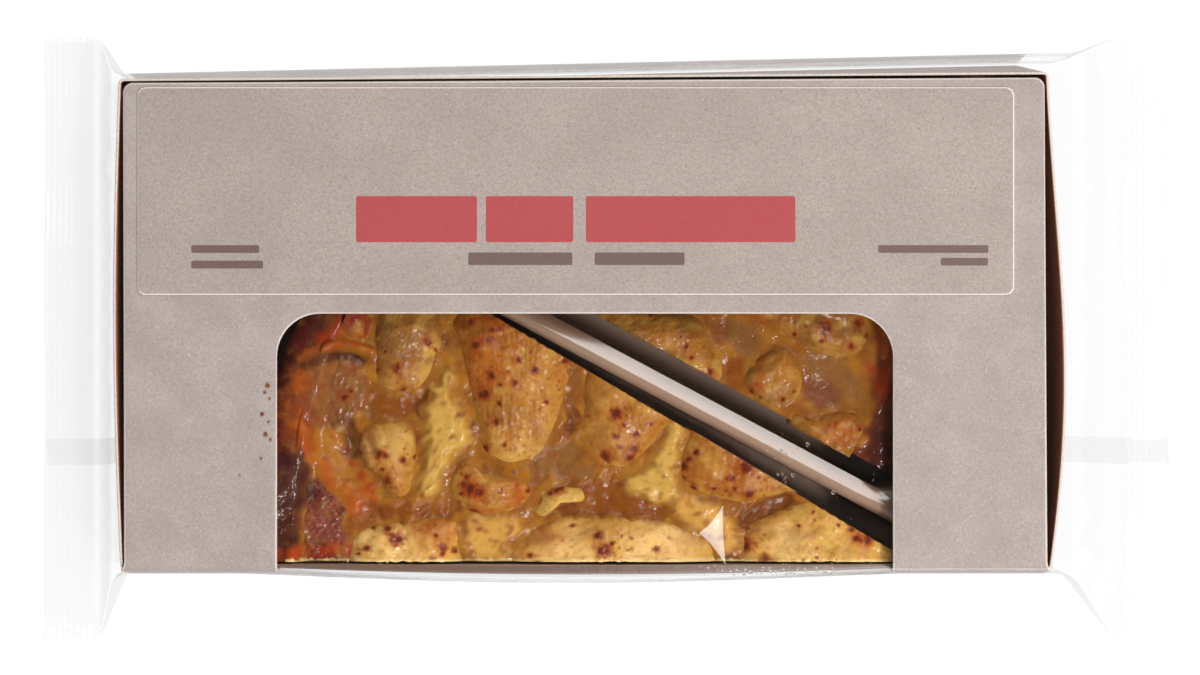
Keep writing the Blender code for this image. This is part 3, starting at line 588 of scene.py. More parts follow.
traySize = {
    "wall": 0.35, "floor": 1.15, "rim": 30.0, "middle": (0.0, -4.42), "halfLength": 93.6, "halfDepth": 45.63,
    "corner": 7.5, "ridgeDegrees": 27.97, "ridgeFoot": 2.6, "ridgeShoulder": 2.4, "ridgeCrest": 0.3,
    "ridgeFall": 1.0, "flankSlope": 0.445, "crestRounding": 0.4, "crestShift": 0.6,
    "pocketFront": -49.4, "endCentre": (57.4, -43.24), "endRadius": 139.5, "tipRadius": 2.9,
    "pocketCorner": 6.0, "bulge": 0.15, "rimBulge": 1.35, "bulgeHalf": 63.4, "lipRadius": 0.3, "lipDrop": 1.3,
}
trayMiddle = np.array(traySize["middle"])
ridgeAngle = np.radians(traySize["ridgeDegrees"])
ridgeWay = np.array([np.cos(ridgeAngle), -np.sin(ridgeAngle)])
ridgeOut = np.array([-np.sin(ridgeAngle), -np.cos(ridgeAngle)])


def bulgeOf(x, amount):
    # The middle of a long side pushed out by amount * (1 - (x / half)^2)
    return amount * np.clip(1 - (x / traySize["bulgeHalf"]) ** 2, 0, None)


def pocketSides(front, ridge, endRadius, bulge):
    # The front pocket's three sides, each from the middle of one rounded corner to that of the next: along the
    # ridge, round the end wall's arc, and along the front
    tip, corner = traySize["tipRadius"], traySize["pocketCorner"]
    centre = np.array(traySize["endCentre"])
    onRidge = trayMiddle + ridgeOut * ridge
    tipPoint = onRidge + ridgeWay * ((front - onRidge[1]) / ridgeWay[1])
    offset = onRidge - centre
    along = offset @ ridgeWay
    high = onRidge + ridgeWay * (-along - np.sqrt(along ** 2 - offset @ offset + endRadius ** 2))
    low = np.array([centre[0] - np.sqrt(endRadius ** 2 - (front - centre[1]) ** 2), front])
    angleHigh = np.arctan2(high[1] - centre[1], high[0] - centre[0])
    angleLow = np.arctan2(low[1] - centre[1], low[0] - centre[0]) + 2 * np.pi
    wayHigh = np.array([-np.sin(angleHigh), np.cos(angleHigh)])
    wayLow = np.array([-np.sin(angleLow), np.cos(angleLow)])
    right = np.array([1.0, 0.0])
    tipArc, tipTrim = fillet(tipPoint, -right, -ridgeWay, tip)
    highArc, highTrim = fillet(high, ridgeWay, wayHigh, corner)
    lowArc, lowTrim = fillet(low, -wayLow, right, corner)
    angles = np.linspace(angleHigh + highTrim / endRadius, angleLow - lowTrim / endRadius, 60)
    arc = centre + endRadius * np.stack([np.cos(angles), np.sin(angles)], -1)
    x = np.linspace(low[0] + lowTrim, tipPoint[0] - tipTrim, 120)
    frontLine = np.stack([x, front - bulgeOf(x, bulge)], -1)
    return [np.vstack([tipArc[6:], highArc[:7]]), np.vstack([highArc[6:], arc, lowArc[:7]]),
            np.vstack([lowArc[6:], frontLine, tipArc[:7]])]


trayCounts = (200, 80, 220)  # points on each of the three sides


def evenLoop(sides):
    # One closed loop, with its points evenly spaced on each side
    return np.vstack([resample(side, count + 1)[:-1] for side, count in zip(sides, trayCounts)])


def trayEdge():
    # Outer edge of the front half of the flange, side for side with the pocket: crest, left end, front
    hx, hy = traySize["halfLength"], traySize["halfDepth"]
    r = traySize["corner"]
    crestReach = hy / np.sin(ridgeAngle)
    crest = np.stack([trayMiddle + ridgeWay * crestReach, trayMiddle - ridgeWay * crestReach])
    left, right = trayMiddle[0] - hx, trayMiddle[0] + hx
    top, bottom = trayMiddle[1] + hy, trayMiddle[1] - hy
    topArc, _ = fillet(np.array([left, top]), np.array([1.0, 0.0]), np.array([0.0, -1.0]), r)
    lowArc, _ = fillet(np.array([left, bottom]), np.array([0.0, 1.0]), np.array([1.0, 0.0]), r)
    end = np.vstack([crest[1:], topArc, lowArc[:7]])
    x = np.linspace(left + r, crest[0][0], 160)
    frontLine = np.stack([x, bottom - bulgeOf(x, traySize["rimBulge"])], -1)
    return evenLoop([crest, end, np.vstack([lowArc[6:], frontLine])])


def trayHalf(isFront):
    # One pocket from the middle of its floor out over wall, rounded rim and flange
    size = traySize
    front, foot, endRadius = size["pocketFront"], size["ridgeFoot"], size["endRadius"]
    rounding = size["ridgeShoulder"] - size["ridgeCrest"]
    shoulder = size["rim"] - rounding
    bulge = size["bulge"] if isFront else 0.0
    floorLoop = evenLoop(pocketSides(front + 1.0, foot + 1.0, endRadius - 1.0, 0.0))
    rows = [(mixed(floorLoop.mean(0), floorLoop, share), size["floor"]) for share in (0.0, 0.3, 0.6, 0.85, 1.0)]
    # then every loop by its offset in front, its ridge, its offset at the end, its bulge and its height:
    # a fillet of 1 mm at the floor, the sloping wall, and the rounded rim
    loops = [(1 - np.sin(turn), foot + 1 - np.sin(turn), np.sin(turn) - 1, 0.0,
              size["floor"] + 1 - np.cos(turn)) for turn in np.radians((30, 60, 90))]
    loops += [(0.0, mixed(foot, size["ridgeShoulder"], share), share, smoothStep(0.5, 1.0, share) * bulge,
               mixed(size["floor"] + 1.0, shoulder, share)) for share in np.linspace(0, 1, 9)[1:]]
    for turn in np.radians(np.linspace(0, 90, 13)[1:]):
        spread = 1 - np.cos(turn)
        loops.append((-0.2 * spread, size["ridgeShoulder"] - rounding * spread, 1.0 + rounding * spread, bulge,
                      shoulder + rounding * np.sin(turn)))
    for inFront, ridge, atEnd, out, height in loops:
        rows.append((evenLoop(pocketSides(front + inFront, ridge, endRadius + atEnd, out)), height))
    edge = trayEdge()
    if not isFront:
        n = sum(trayCounts[:2])
        edge[n:, 1] += bulgeOf(edge[n:, 0], size["rimBulge"])
    last = rows[-1][0]
    for share in (0.25, 0.5, 0.75, 1.0):
        rows.append((mixed(last, edge, share), size["rim"]))
    points = np.array([np.column_stack([loop, np.full(len(loop), height)]) for loop, height in rows])
    # between the pockets the ridge is broader. Its front flank falls away as the square of the distance from
    # the crest, its back flank is plane beyond a short rounding
    upper = points[-16:]
    fromMiddle = upper[..., :2] - trayMiddle
    away = np.abs(fromMiddle @ ridgeOut)
    between = smoothStep(74, 62, np.abs(fromMiddle @ ridgeWay)) * (away < size["ridgeShoulder"] + 0.01)
    crest = size["crestRounding"]
    past = size["crestShift"] + (-away if isFront else away)
    fall = np.where(past > 0, size["flankSlope"] * (np.sqrt(past ** 2 + crest ** 2) - crest),
                    size["ridgeFall"] * (past / (size["ridgeShoulder"] - size["crestShift"])) ** 2)
    upper[..., 2] = mixed(upper[..., 2], size["rim"] - fall, between)
    if not isFront:
        points[..., :2] = 2 * trayMiddle - points[..., :2]
    return points, points[-1, trayCounts[0]:]


def buildTray(material):
    # Both halves, the back one turned by 180 degrees, and a rolled lip that hangs round their common edge
    front, frontEdge = trayHalf(True)
    back, backEdge = trayHalf(False)
    loops, count = front.shape[:2]
    edge = np.vstack([frontEdge, backEdge])
    following = np.roll(edge, -1, 0) - np.roll(edge, 1, 0)
    out = np.stack([following[:, 1], -following[:, 0]], -1)
    out /= np.maximum(np.linalg.norm(out, axis=1), 1e-9)[:, None]
    if (out * (edge[:, :2] - trayMiddle)).sum() < 0:
        out = -out
    radius, drop = traySize["lipRadius"], traySize["lipDrop"]
    lip = [np.column_stack([edge[:, :2] + out * radius * np.sin(turn),
                            edge[:, 2] - radius * (1 - np.cos(turn))]) for turn in np.radians((0, 45, 90))]
    lip = np.array(lip + [np.column_stack([edge[:, :2] + out * radius, edge[:, 2] - drop])])
    points = np.vstack([part.reshape(-1, 3) for part in (front, back, lip)])
    quads = np.vstack([gridFaces(loops, count, wrapCols=True),
                       gridFaces(loops, count, wrapCols=True, start=loops * count),
                       gridFaces(len(lip), len(edge), wrapCols=True, start=2 * loops * count)])
    tray = makePiece("brown_tray", points, [material], quads)
    turnTowards(tray, (0, 0, 1))
    thicken(tray, traySize["wall"])
    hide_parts("tray")


# Tart slices: one twelfth of a tart each, cut with a knife before packing

sliceSize = {
    "radius": 136.0, "wedge": np.radians(30.5), "tipRadius": 1.5, "foot": 1.45, "baseThickness": 3.5,
    "rimThickness": 6.5, "rimTop": 30.6, "rimLean": 2.0, "custardTop": 27.5, "custardFoot": 5.25,
    "chunkFoot": 25.8, "ridgeRoom": traySize["ridgeFoot"] + 0.3, "chunkReach": 128.1, "cutRagged": 0.22,
    "rimSpread": 1.8, "bubbles": 320, "bubbleDepth": 0.1,
}
slices = {
    1: {"apex": np.array([67.8, -49.1]), "heading": np.pi, "side": 1.0},
    2: {"apex": np.array([-57.4, 34.4]), "heading": np.radians(2.1), "side": -1.0},
}

# What the baked surfaces look like, from the photo
# golden, greyGold and paleGold, mostly on the chunks further back, were set darker, and frontGold and cream, on
# those at the front, lighter: partly the fruit's own colour, partly painted shade of the lid and painted light
# from the front. The duller gold of slice 2's chunks by the lid's edge is partly their own colour, partly
# painted shade of the lid.
foodColours = {
    "golden": "#a97029", "paleGold": "#b88845", "frontGold": "#d3a658", "cream": "#f0ce90",
    "greyGold": "#986a33", "mauve": "#74402e", "orange": "#a85416", "amber": "#7e420a", "deepAmber": "#5e2a08",
    "greyBrown": "#80582f", "yellow": "#ccaa5a", "lidShadeGold": "#8e622c", "skinRed": "#84301c",
    "crustBrown": "#381309", "crustOrange": "#a03404", "flatMauveAndReflection": "#7e4034", "spot": "#571a08",
    "halo": "#92360e", "flesh": "#f0d8a8", "paleChip": "#d8aa74", "darkTroughAndShadow": "#421809", "biscuit": "#a06a34",
    "custard": "#a36e20", "redBrown": "#521206", "dustyMauveAndReflection": "#83522f", "rust": "#813a20", "plum": "#3c181a",
}
glazeTint = np.array((0.93, 0.84, 0.68))  # what the amber glaze lets through, linear
tones = {name: np.array(hexColour(code)[:3]) * glazeTint for name, code in foodColours.items()}

# Apple chunks, in mm. outline: x, y of each point in a row, read off, running past the knife's cut.
# tints: x, y, radius, colour. furrows: x0, y0, x1, y1, width, depth. spots: x, y, radius in a row, caramelised.
# sunken: the slice whose browned rim covers the chunk. reach: how far from the tip it may run.
chunks = {
    "apple_1_01": {
        "height": 4.6, "lean": (-0.02, 0.01), "colour": "golden", "freckles": 150,
        "outline": (-28.2, 1.9, -26.8, -3.1, -25.7, -9.3, -24.1, -15.4, -23.1, -21.6, -22.0, -26.1,
            -19.6, -29.0, -15.4, -30.1, -11.3, -29.0, -8.2, -26.8, -6.0, -23.3, -4.3, -17.9, -3.1, -13.0,
            -1.6, -7.6, 0.6, -4.1, -5.1, 1.4, -13.4, 6.0, -22.6, 7.2),
        "tints": ((-9.0, -22.0, 8.0, "paleGold"), (-9.5, -11.5, 5.0, "paleGold"), (-22.0, -10.0, 5.5, "orange"),
            (-20.0, -1.0, 6.0, "orange"), (-17.5, -19.0, 4.5, "greyGold"), (-14.0, -28.0, 5.0, "yellow")),
        "furrows": ((-25.0, 0.5, -18.0, -3.0, 1.6, 0.5), (-13.0, -17.0, -8.0, -26.0, 1.3, 0.3),
            (-14.0, -10.0, -16.0, -20.0, 1.4, 0.25)),
        "spots": (-22.6, -4.1, 0.9, -19.1, -1.0, 0.7, -17.7, -0.8, 0.6, -13.8, -7.2, 0.6, -10.3, -9.3, 0.8,
            -3.9, -7.2, 0.8, -8.0, -15.9, 0.4, -21.0, -14.4, 1.0, -19.4, -10.5, 0.7, -18.5, -20.2, 0.7,
            -14.4, -11.9, 0.6, -20.8, -25.7, 0.9, -17.7, -16.3, 0.5, -16.7, -24.9, 0.4, -23.7, 0.6, 0.6,
            -19.8, -3.1, 0.6, -17.5, -12.4, 0.3, -15.9, -9.7, 0.3, -11.3, -5.6, 0.3),
    },
    "apple_1_02": {
        "height": 4.0, "lean": (0.01, 0.03), "colour": "greyGold", "freckles": 20,
        "outline": (-43.6, 1.9, -44.5, -4.1, -44.5, -9.1, -43.2, -13.0, -40.1, -14.8, -37.1, -15.2,
            -33.8, -13.2, -31.3, -9.7, -29.6, -5.1, -29.0, -0.8, -29.9, 4.1, -32.9, 7.2, -38.1, 8.0,
            -42.2, 6.2),
        "tints": ((-32.0, -10.0, 3.6, "yellow"), (-31.0, -5.0, 2.6, "yellow"), (-38.5, -12.0, 4.0, "golden"),
            (-39.0, -5.0, 4.0, "greyBrown")),
        "furrows": ((-40.0, -6.8, -35.0, -6.0, 1.3, 0.3),),
        "spots": (-32.5, -3.7, 0.7, -39.1, -8.9, 0.9, -37.7, -13.4, 0.6, -43.0, -9.3, 0.4, -41.4, -5.6, 0.3,
            -31.1, -5.1, 0.3),
    },
    "apple_1_03": {
        # its mauve is partly the skin's own colour, partly a painted reflection of the film's haze
        "height": 2.8, "colour": "dustyMauveAndReflection", "reach": 131.0, "sunken": 1, "freckles": 16,
        "outline": (-58.1, -8.2, -56.2, -5.6, -52.5, -4.3, -48.4, -4.5, -45.1, -6.4, -44.3, -9.7, -44.1, -13.4,
            -45.1, -17.1, -47.4, -20.0, -50.4, -23.3, -54.1, -24.7, -57.0, -22.0, -58.7, -17.5, -59.3, -13.0),
        "tints": ((-51.0, -18.0, 4.5, "greyBrown"), (-47.0, -13.0, 3.0, "greyBrown")),
        "furrows": ((-57.5, -14.0, -54.0, -17.0, 1.4, 0.3),),
        "spots": (-58.3, -13.6, 0.6, -54.6, -11.3, 0.9, -50.0, -15.0, 0.8, -55.0, -21.0, 0.7, -48.6, -13.8, 0.4,
            -52.5, -6.2, 0.7),
    },
    "apple_1_04": {
        "height": 4.2, "lean": (0.0, 0.02), "colour": "paleGold", "freckles": 40,
        "outline": (-45.9, -20.4, -42.0, -19.4, -37.9, -19.4, -35.0, -22.0, -34.6, -25.7, -34.8, -30.7,
            -36.0, -34.8, -37.7, -37.1, -40.6, -35.6, -43.0, -31.9, -45.9, -29.4, -47.4, -26.1, -47.1, -22.9),
        "tints": ((-38.0, -24.0, 4.0, "yellow"), (-44.5, -25.5, 2.6, "paleChip"), (-41.5, -32.0, 2.6, "orange"),
            (-37.5, -33.5, 3.0, "golden")),
        "furrows": ((-45.0, -22.0, -43.6, -27.5, 0.8, 0.5),),
        "spots": (-41.4, -27.0, 0.6, -37.7, -28.0, 0.7, -40.8, -32.1, 0.7, -42.0, -29.9, 0.4, -35.2, -27.4, 0.5,
            -42.6, -26.8, 0.7),
    },
    "apple_1_05": {
        "height": 4.4, "lean": (0.01, 0.02), "colour": "golden", "freckles": 26,
        "outline": (-0.2, -7.2, -1.0, -14.4, -1.2, -20.6, 0.0, -25.3, 2.5, -29.0, 5.6, -30.5, 8.9, -30.1,
            11.7, -28.0, 14.6, -25.1, 17.1, -21.8, 21.6, -18.5, 16.5, -10.3, 9.3, -5.1, 3.1, -4.1),
        "tints": ((7.0, -12.0, 6.0, "paleGold"), (4.0, -22.0, 4.0, "paleGold"), (12.0, -25.0, 4.0, "golden"),
            (5.0, -28.5, 3.5, "golden")),
        "furrows": ((9.0, -8.5, 13.0, -14.0, 1.5, 0.15),),
        "spots": (6.4, -18.3, 1.2, 8.2, -20.6, 0.5, 10.5, -22.4, 0.7, 13.4, -20.6, 0.4, 6.4, -23.1, 0.6,
            4.3, -27.4, 1.1, 0.6, -24.9, 0.5, 10.1, -25.7, 0.8, 7.2, -25.3, 0.5, 9.1, -27.4, 0.8,
            3.1, -29.9, 0.3, 8.6, -18.7, 0.2),
    },
    "apple_1_06": {
        "height": 4.5, "lean": (0.0, 0.01), "colour": "golden", "freckles": 110,
        "outline": (20.4, -22.9, 19.1, -27.4, 18.9, -31.3, 20.2, -34.0, 23.7, -35.6, 28.6, -36.9, 32.1, -37.5,
            35.2, -37.7, 37.7, -36.6, 42.2, -35.2, 46.7, -34.0, 44.3, -28.8, 34.0, -21.6, 26.8, -18.5,
            22.6, -19.1),
        "tints": ((21.0, -31.0, 3.0, "orange"), (32.0, -30.0, 4.0, "orange"), (27.0, -26.0, 4.5, "paleGold"),
            (38.0, -33.0, 4.0, "paleGold"), (30.0, -36.0, 3.0, "golden")),
        "furrows": ((30.5, -26.5, 34.0, -34.0, 1.6, 0.25),),
        "spots": (23.1, -26.4, 0.7, 33.4, -29.4, 1.3, 30.3, -31.7, 0.7, 34.0, -35.0, 0.9, 26.8, -34.0, 0.4,
            20.4, -29.4, 0.8, 19.8, -31.9, 0.8, 22.4, -34.0, 0.8, 29.4, -31.9, 0.4, 36.0, -31.5, 0.3,
            21.6, -27.8, 0.6, 31.1, -34.0, 0.5),
    },
    "apple_1_07": {
        "height": 4.0, "lean": (-0.01, 0.0), "colour": "golden", "freckles": 40,
        "outline": (-25.1, -27.0, -27.8, -29.4, -29.0, -32.9, -28.6, -35.6, -26.6, -37.9, -24.1, -39.3,
            -20.8, -40.1, -16.5, -39.7, -13.0, -38.3, -10.7, -36.0, -10.3, -33.8, -13.0, -31.7, -17.5, -30.9,
            -21.2, -30.2, -23.3, -28.4),
        "tints": ((-24.5, -29.5, 3.0, "paleGold"), (-22.5, -34.5, 2.8, "orange"), (-14.0, -35.5, 3.5, "orange"),
            (-18.0, -33.0, 3.0, "paleGold"), (-22.5, -39.0, 2.5, "orange")),
        "spots": (-23.9, -33.8, 1.2, -22.0, -34.6, 0.9, -23.3, -39.1, 1.1, -25.3, -32.9, 0.6, -25.7, -35.0, 0.4,
            -11.9, -34.4, 0.5, -14.0, -38.7, 0.6, -17.5, -34.4, 0.4, -24.5, -31.5, 0.6),
    },
    "apple_1_08": {
        "height": 2.6, "colour": "yellow", "freckles": 8,
        "outline": (-10.7, -37.5, -9.7, -35.2, -7.6, -33.8, -4.1, -33.1, 0.6, -34.2, 0.0, -36.6, -3.5, -36.9,
            -6.2, -38.3, -9.3, -40.4, -11.1, -39.5),
        "tints": ((-5.5, -34.3, 1.6, "crustOrange"),),
        "spots": (-7.2, -35.0, 0.6, -5.1, -33.8, 0.6, -6.0, -34.4, 0.5),
    },
    "apple_1_09": {
        "height": 4.0, "colour": "frontGold", "freckles": 36,
        "outline": (-17.5, -46.7, -13.4, -43.0, -9.9, -41.0, -5.1, -39.3, 2.3, -39.1, 8.0, -39.3, 13.8, -39.9,
            19.6, -41.0, 24.7, -43.2, 28.2, -45.9, 29.4, -51.5, 21.6, -54.6, 7.2, -55.6, -9.3, -54.6,
            -17.1, -52.1),
        "tints": ((16.0, -46.5, 9.0, "cream"), (-4.0, -48.0, 7.0, "cream"), (-9.0, -43.5, 3.5, "orange"),
            (4.0, -41.5, 5.0, "paleGold"), (22.0, -44.0, 3.5, "paleGold"), (-14.0, -47.0, 2.5, "orange")),
        "furrows": ((-12.0, -44.5, 1.0, -43.0, 1.8, 0.35),),
        "spots": (2.9, -43.6, 0.8, 4.3, -46.5, 1.1, 3.3, -46.9, 0.9, 14.8, -46.5, 0.6, 12.6, -38.3, 0.8,
            13.8, -39.7, 0.8, -2.5, -41.6, 0.4, -11.5, -47.8, 0.5, 5.6, -45.3, 0.4),
    },
    "apple_1_10": {
        "height": 3.9, "lean": (0.0, -0.01), "colour": "frontGold", "freckles": 30,
        "outline": (-47.1, -41.6, -41.2, -40.4, -34.6, -39.7, -28.8, -39.5, -25.7, -40.4, -24.7, -43.2,
            -24.5, -46.7, -24.9, -51.5, -31.9, -54.6, -42.2, -54.6, -48.8, -52.5, -50.0, -48.4, -49.4, -44.3),
        "tints": ((-39.0, -47.0, 5.0, "cream"), (-30.0, -43.0, 4.0, "orange"), (-45.5, -44.0, 3.0, "cream"),
            (-34.0, -42.0, 3.0, "orange")),
        "furrows": ((-37.0, -48.5, -33.0, -41.0, 1.4, 0.15),),
        "spots": (-41.0, -42.2, 0.7, -39.5, -44.3, 1.1, -45.3, -46.3, 0.7, -29.4, -46.1, 0.7, -25.6, -43.2, 0.8,
            -27.2, -46.7, 0.6, -38.5, -44.5, 0.8, -46.9, -47.4, 0.3, -30.9, -43.6, 0.4, -31.9, -48.4, 0.5,
            -29.6, -47.4, 0.5, -43.9, -42.0, 0.4),
    },
    "apple_1_11": {
        "height": 4.2, "lean": (0.01, 0.0), "colour": "frontGold", "freckles": 50,
        "outline": (31.1, -45.3, 32.9, -42.2, 36.0, -40.1, 39.7, -38.5, 44.3, -36.4, 50.4, -35.0, 58.7, -37.1,
            65.9, -42.2, 70.0, -48.4, 65.9, -54.6, 50.4, -55.8, 36.0, -55.4, 31.1, -52.5),
        "tints": ((42.0, -46.5, 6.0, "cream"), (50.0, -40.0, 5.0, "frontGold"), (34.0, -45.0, 2.6, "orange"),
            (57.0, -44.0, 3.0, "orange"), (50.0, -47.5, 5.0, "yellow")),
        "furrows": ((36.0, -43.5, 47.0, -43.0, 1.6, 0.3), (40.0, -46.0, 54.0, -46.5, 1.0, 0.2)),
        "spots": (33.4, -45.7, 1.0, 37.3, -48.4, 0.9, 56.2, -44.1, 0.8, 58.5, -44.5, 1.0, 55.2, -42.4, 0.6,
            32.3, -43.9, 0.8, 47.4, -38.7, 0.3, 52.5, -41.4, 0.3, 44.3, -41.6, 0.3),
    },
    "apple_1_12": {
        "height": 4.4, "colour": "skinRed", "freckles": 6,
        "outline": (-52.5, 1.4, -51.3, -2.1, -48.0, -3.7, -45.1, -3.7, -43.9, 0.0, -43.9, 5.1, -45.3, 10.3,
            -49.4, 11.3, -52.9, 8.2, -54.1, 4.7),
        "tints": ((-46.5, -2.8, 2.0, "orange"),),
    },
    "apple_1_13": {
        "height": 3.2, "colour": "redBrown", "reach": 132.0, "sunken": 1, "freckles": 10,
        "outline": (-61.4, -26.1, -59.1, -23.7, -56.6, -28.0, -52.9, -33.4, -49.4, -36.6, -48.0, -38.9,
            -49.2, -42.2, -49.8, -45.9, -50.4, -52.1, -56.6, -53.5, -61.1, -51.5, -61.8, -44.3, -61.8, -34.0),
    },
    # slice 2's chunks, by the lid's edge: their duller gold is partly their own colour, partly painted shade of
    # the lid
    "apple_2_01": {
        "height": 4.6, "lean": (0.01, 0.02), "colour": "lidShadeGold", "freckles": 20,
        "outline": (29.9, 2.7, 35.6, 0.2, 40.1, -2.3, 45.7, -4.9, 51.9, -7.0, 57.2, -6.6, 60.1, -3.7,
            59.9, -0.4, 58.3, 4.1, 52.5, 8.2, 42.2, 9.7, 32.9, 8.2, 29.4, 5.6),
        "tints": ((50.0, -5.5, 3.0, "paleGold"), (41.0, -1.5, 3.0, "golden"), (36.0, 1.5, 3.0, "orange")),
        "spots": (49.8, -1.0, 1.2, 56.8, 0.4, 0.9, 43.4, -1.9, 0.4, 45.7, -0.4, 0.3, 58.5, -2.3, 0.5,
            55.2, -4.3, 0.6, 49.0, -3.3, 0.5),
    },
    "apple_2_02": {
        "height": 4.0, "colour": "greyGold", "freckles": 10,
        "outline": (32.7, -12.1, 33.6, -8.4, 37.7, -5.1, 41.8, -4.1, 44.3, -7.2, 45.9, -12.1, 43.9, -15.9,
            39.7, -17.3, 36.4, -16.9, 34.4, -15.0),
        "tints": ((35.0, -13.0, 2.4, "orange"), (41.0, -9.0, 4.0, "golden"), (36.5, -8.0, 2.0, "orange")),
        "furrows": ((35.5, -9.0, 40.0, -6.5, 1.0, 0.3),),
        "spots": (34.4, -13.8, 0.5, 41.0, -15.4, 0.5, 43.4, -13.8, 0.3, 36.4, -15.0, 0.3),
    },
    "apple_2_03": {
        "height": 3.9, "lean": (0.0, 0.02), "colour": "lidShadeGold", "freckles": 16,
        "outline": (42.6, -17.9, 47.4, -18.7, 51.1, -17.3, 56.6, -17.5, 60.1, -19.6, 60.9, -23.7, 60.7, -28.2,
            59.1, -34.0, 52.5, -31.9, 45.3, -25.7, 42.2, -21.6),
        "tints": ((47.0, -20.5, 2.6, "golden"), (53.0, -22.0, 4.0, "orange"), (59.0, -26.0, 3.0, "mauve")),
        "spots": (44.9, -17.3, 0.9, 48.4, -17.7, 1.2, 46.7, -18.3, 1.0, 50.4, -17.3, 0.8, 57.0, -18.5, 0.4,
            57.0, -21.6, 0.4, 57.0, -25.5, 0.6, 59.9, -26.1, 0.6),
    },
    "apple_2_04": {
        "height": 4.2, "lean": (0.01, 0.0), "colour": "lidShadeGold", "freckles": 14,
        "outline": (3.1, 6.0, 11.3, 5.1, 19.6, 3.5, 24.3, 1.9, 27.0, -2.1, 28.6, -6.4, 29.4, -10.9, 26.8, -15.4,
            19.6, -13.4, 11.3, -8.2, 3.1, -2.1, 0.0, 3.1),
        "tints": ((16.0, -1.0, 4.0, "golden"), (23.0, -5.0, 4.0, "golden"), (8.0, 2.0, 3.0, "greyGold")),
        "furrows": ((22.0, 1.5, 27.0, -7.0, 1.2, 0.2),),
        "spots": (21.0, -4.5, 0.5, 22.0, -6.8, 0.5, 25.9, -9.7, 0.6, 19.8, -2.5, 0.3, 13.4, 2.1, 0.4),
    },
}

# Chunks under the lid: middle x, y, half length, half width, height in mm, turn in degrees, colour
hiddenChunks = {
    "apple_2_05": (-9.0, 18.6, 10.4, 6.6, 4.0, -24, "golden"),
    "apple_2_06": (-31.0, 26.2, 10.2, 4.4, 3.4, -16, "paleGold"),
    "apple_2_07": (12.0, 17.0, 9.6, 8.2, 4.3, 8, "golden"),
    "apple_2_08": (34.0, 18.6, 10.0, 7.6, 4.1, -12, "paleGold"),
    "apple_2_09": (58.0, 19.0, 8.8, 8.6, 3.8, 0, "golden"),
    "apple_2_10": (64.0, -3.0, 3.6, 8.0, 3.4, 4, "orange"),
    "apple_2_11": (37.5, 32.4, 11.6, 4.6, 3.6, 2, "golden"),
    "apple_2_12": (9.0, 31.4, 12.4, 4.4, 3.4, 2, "paleGold"),
}

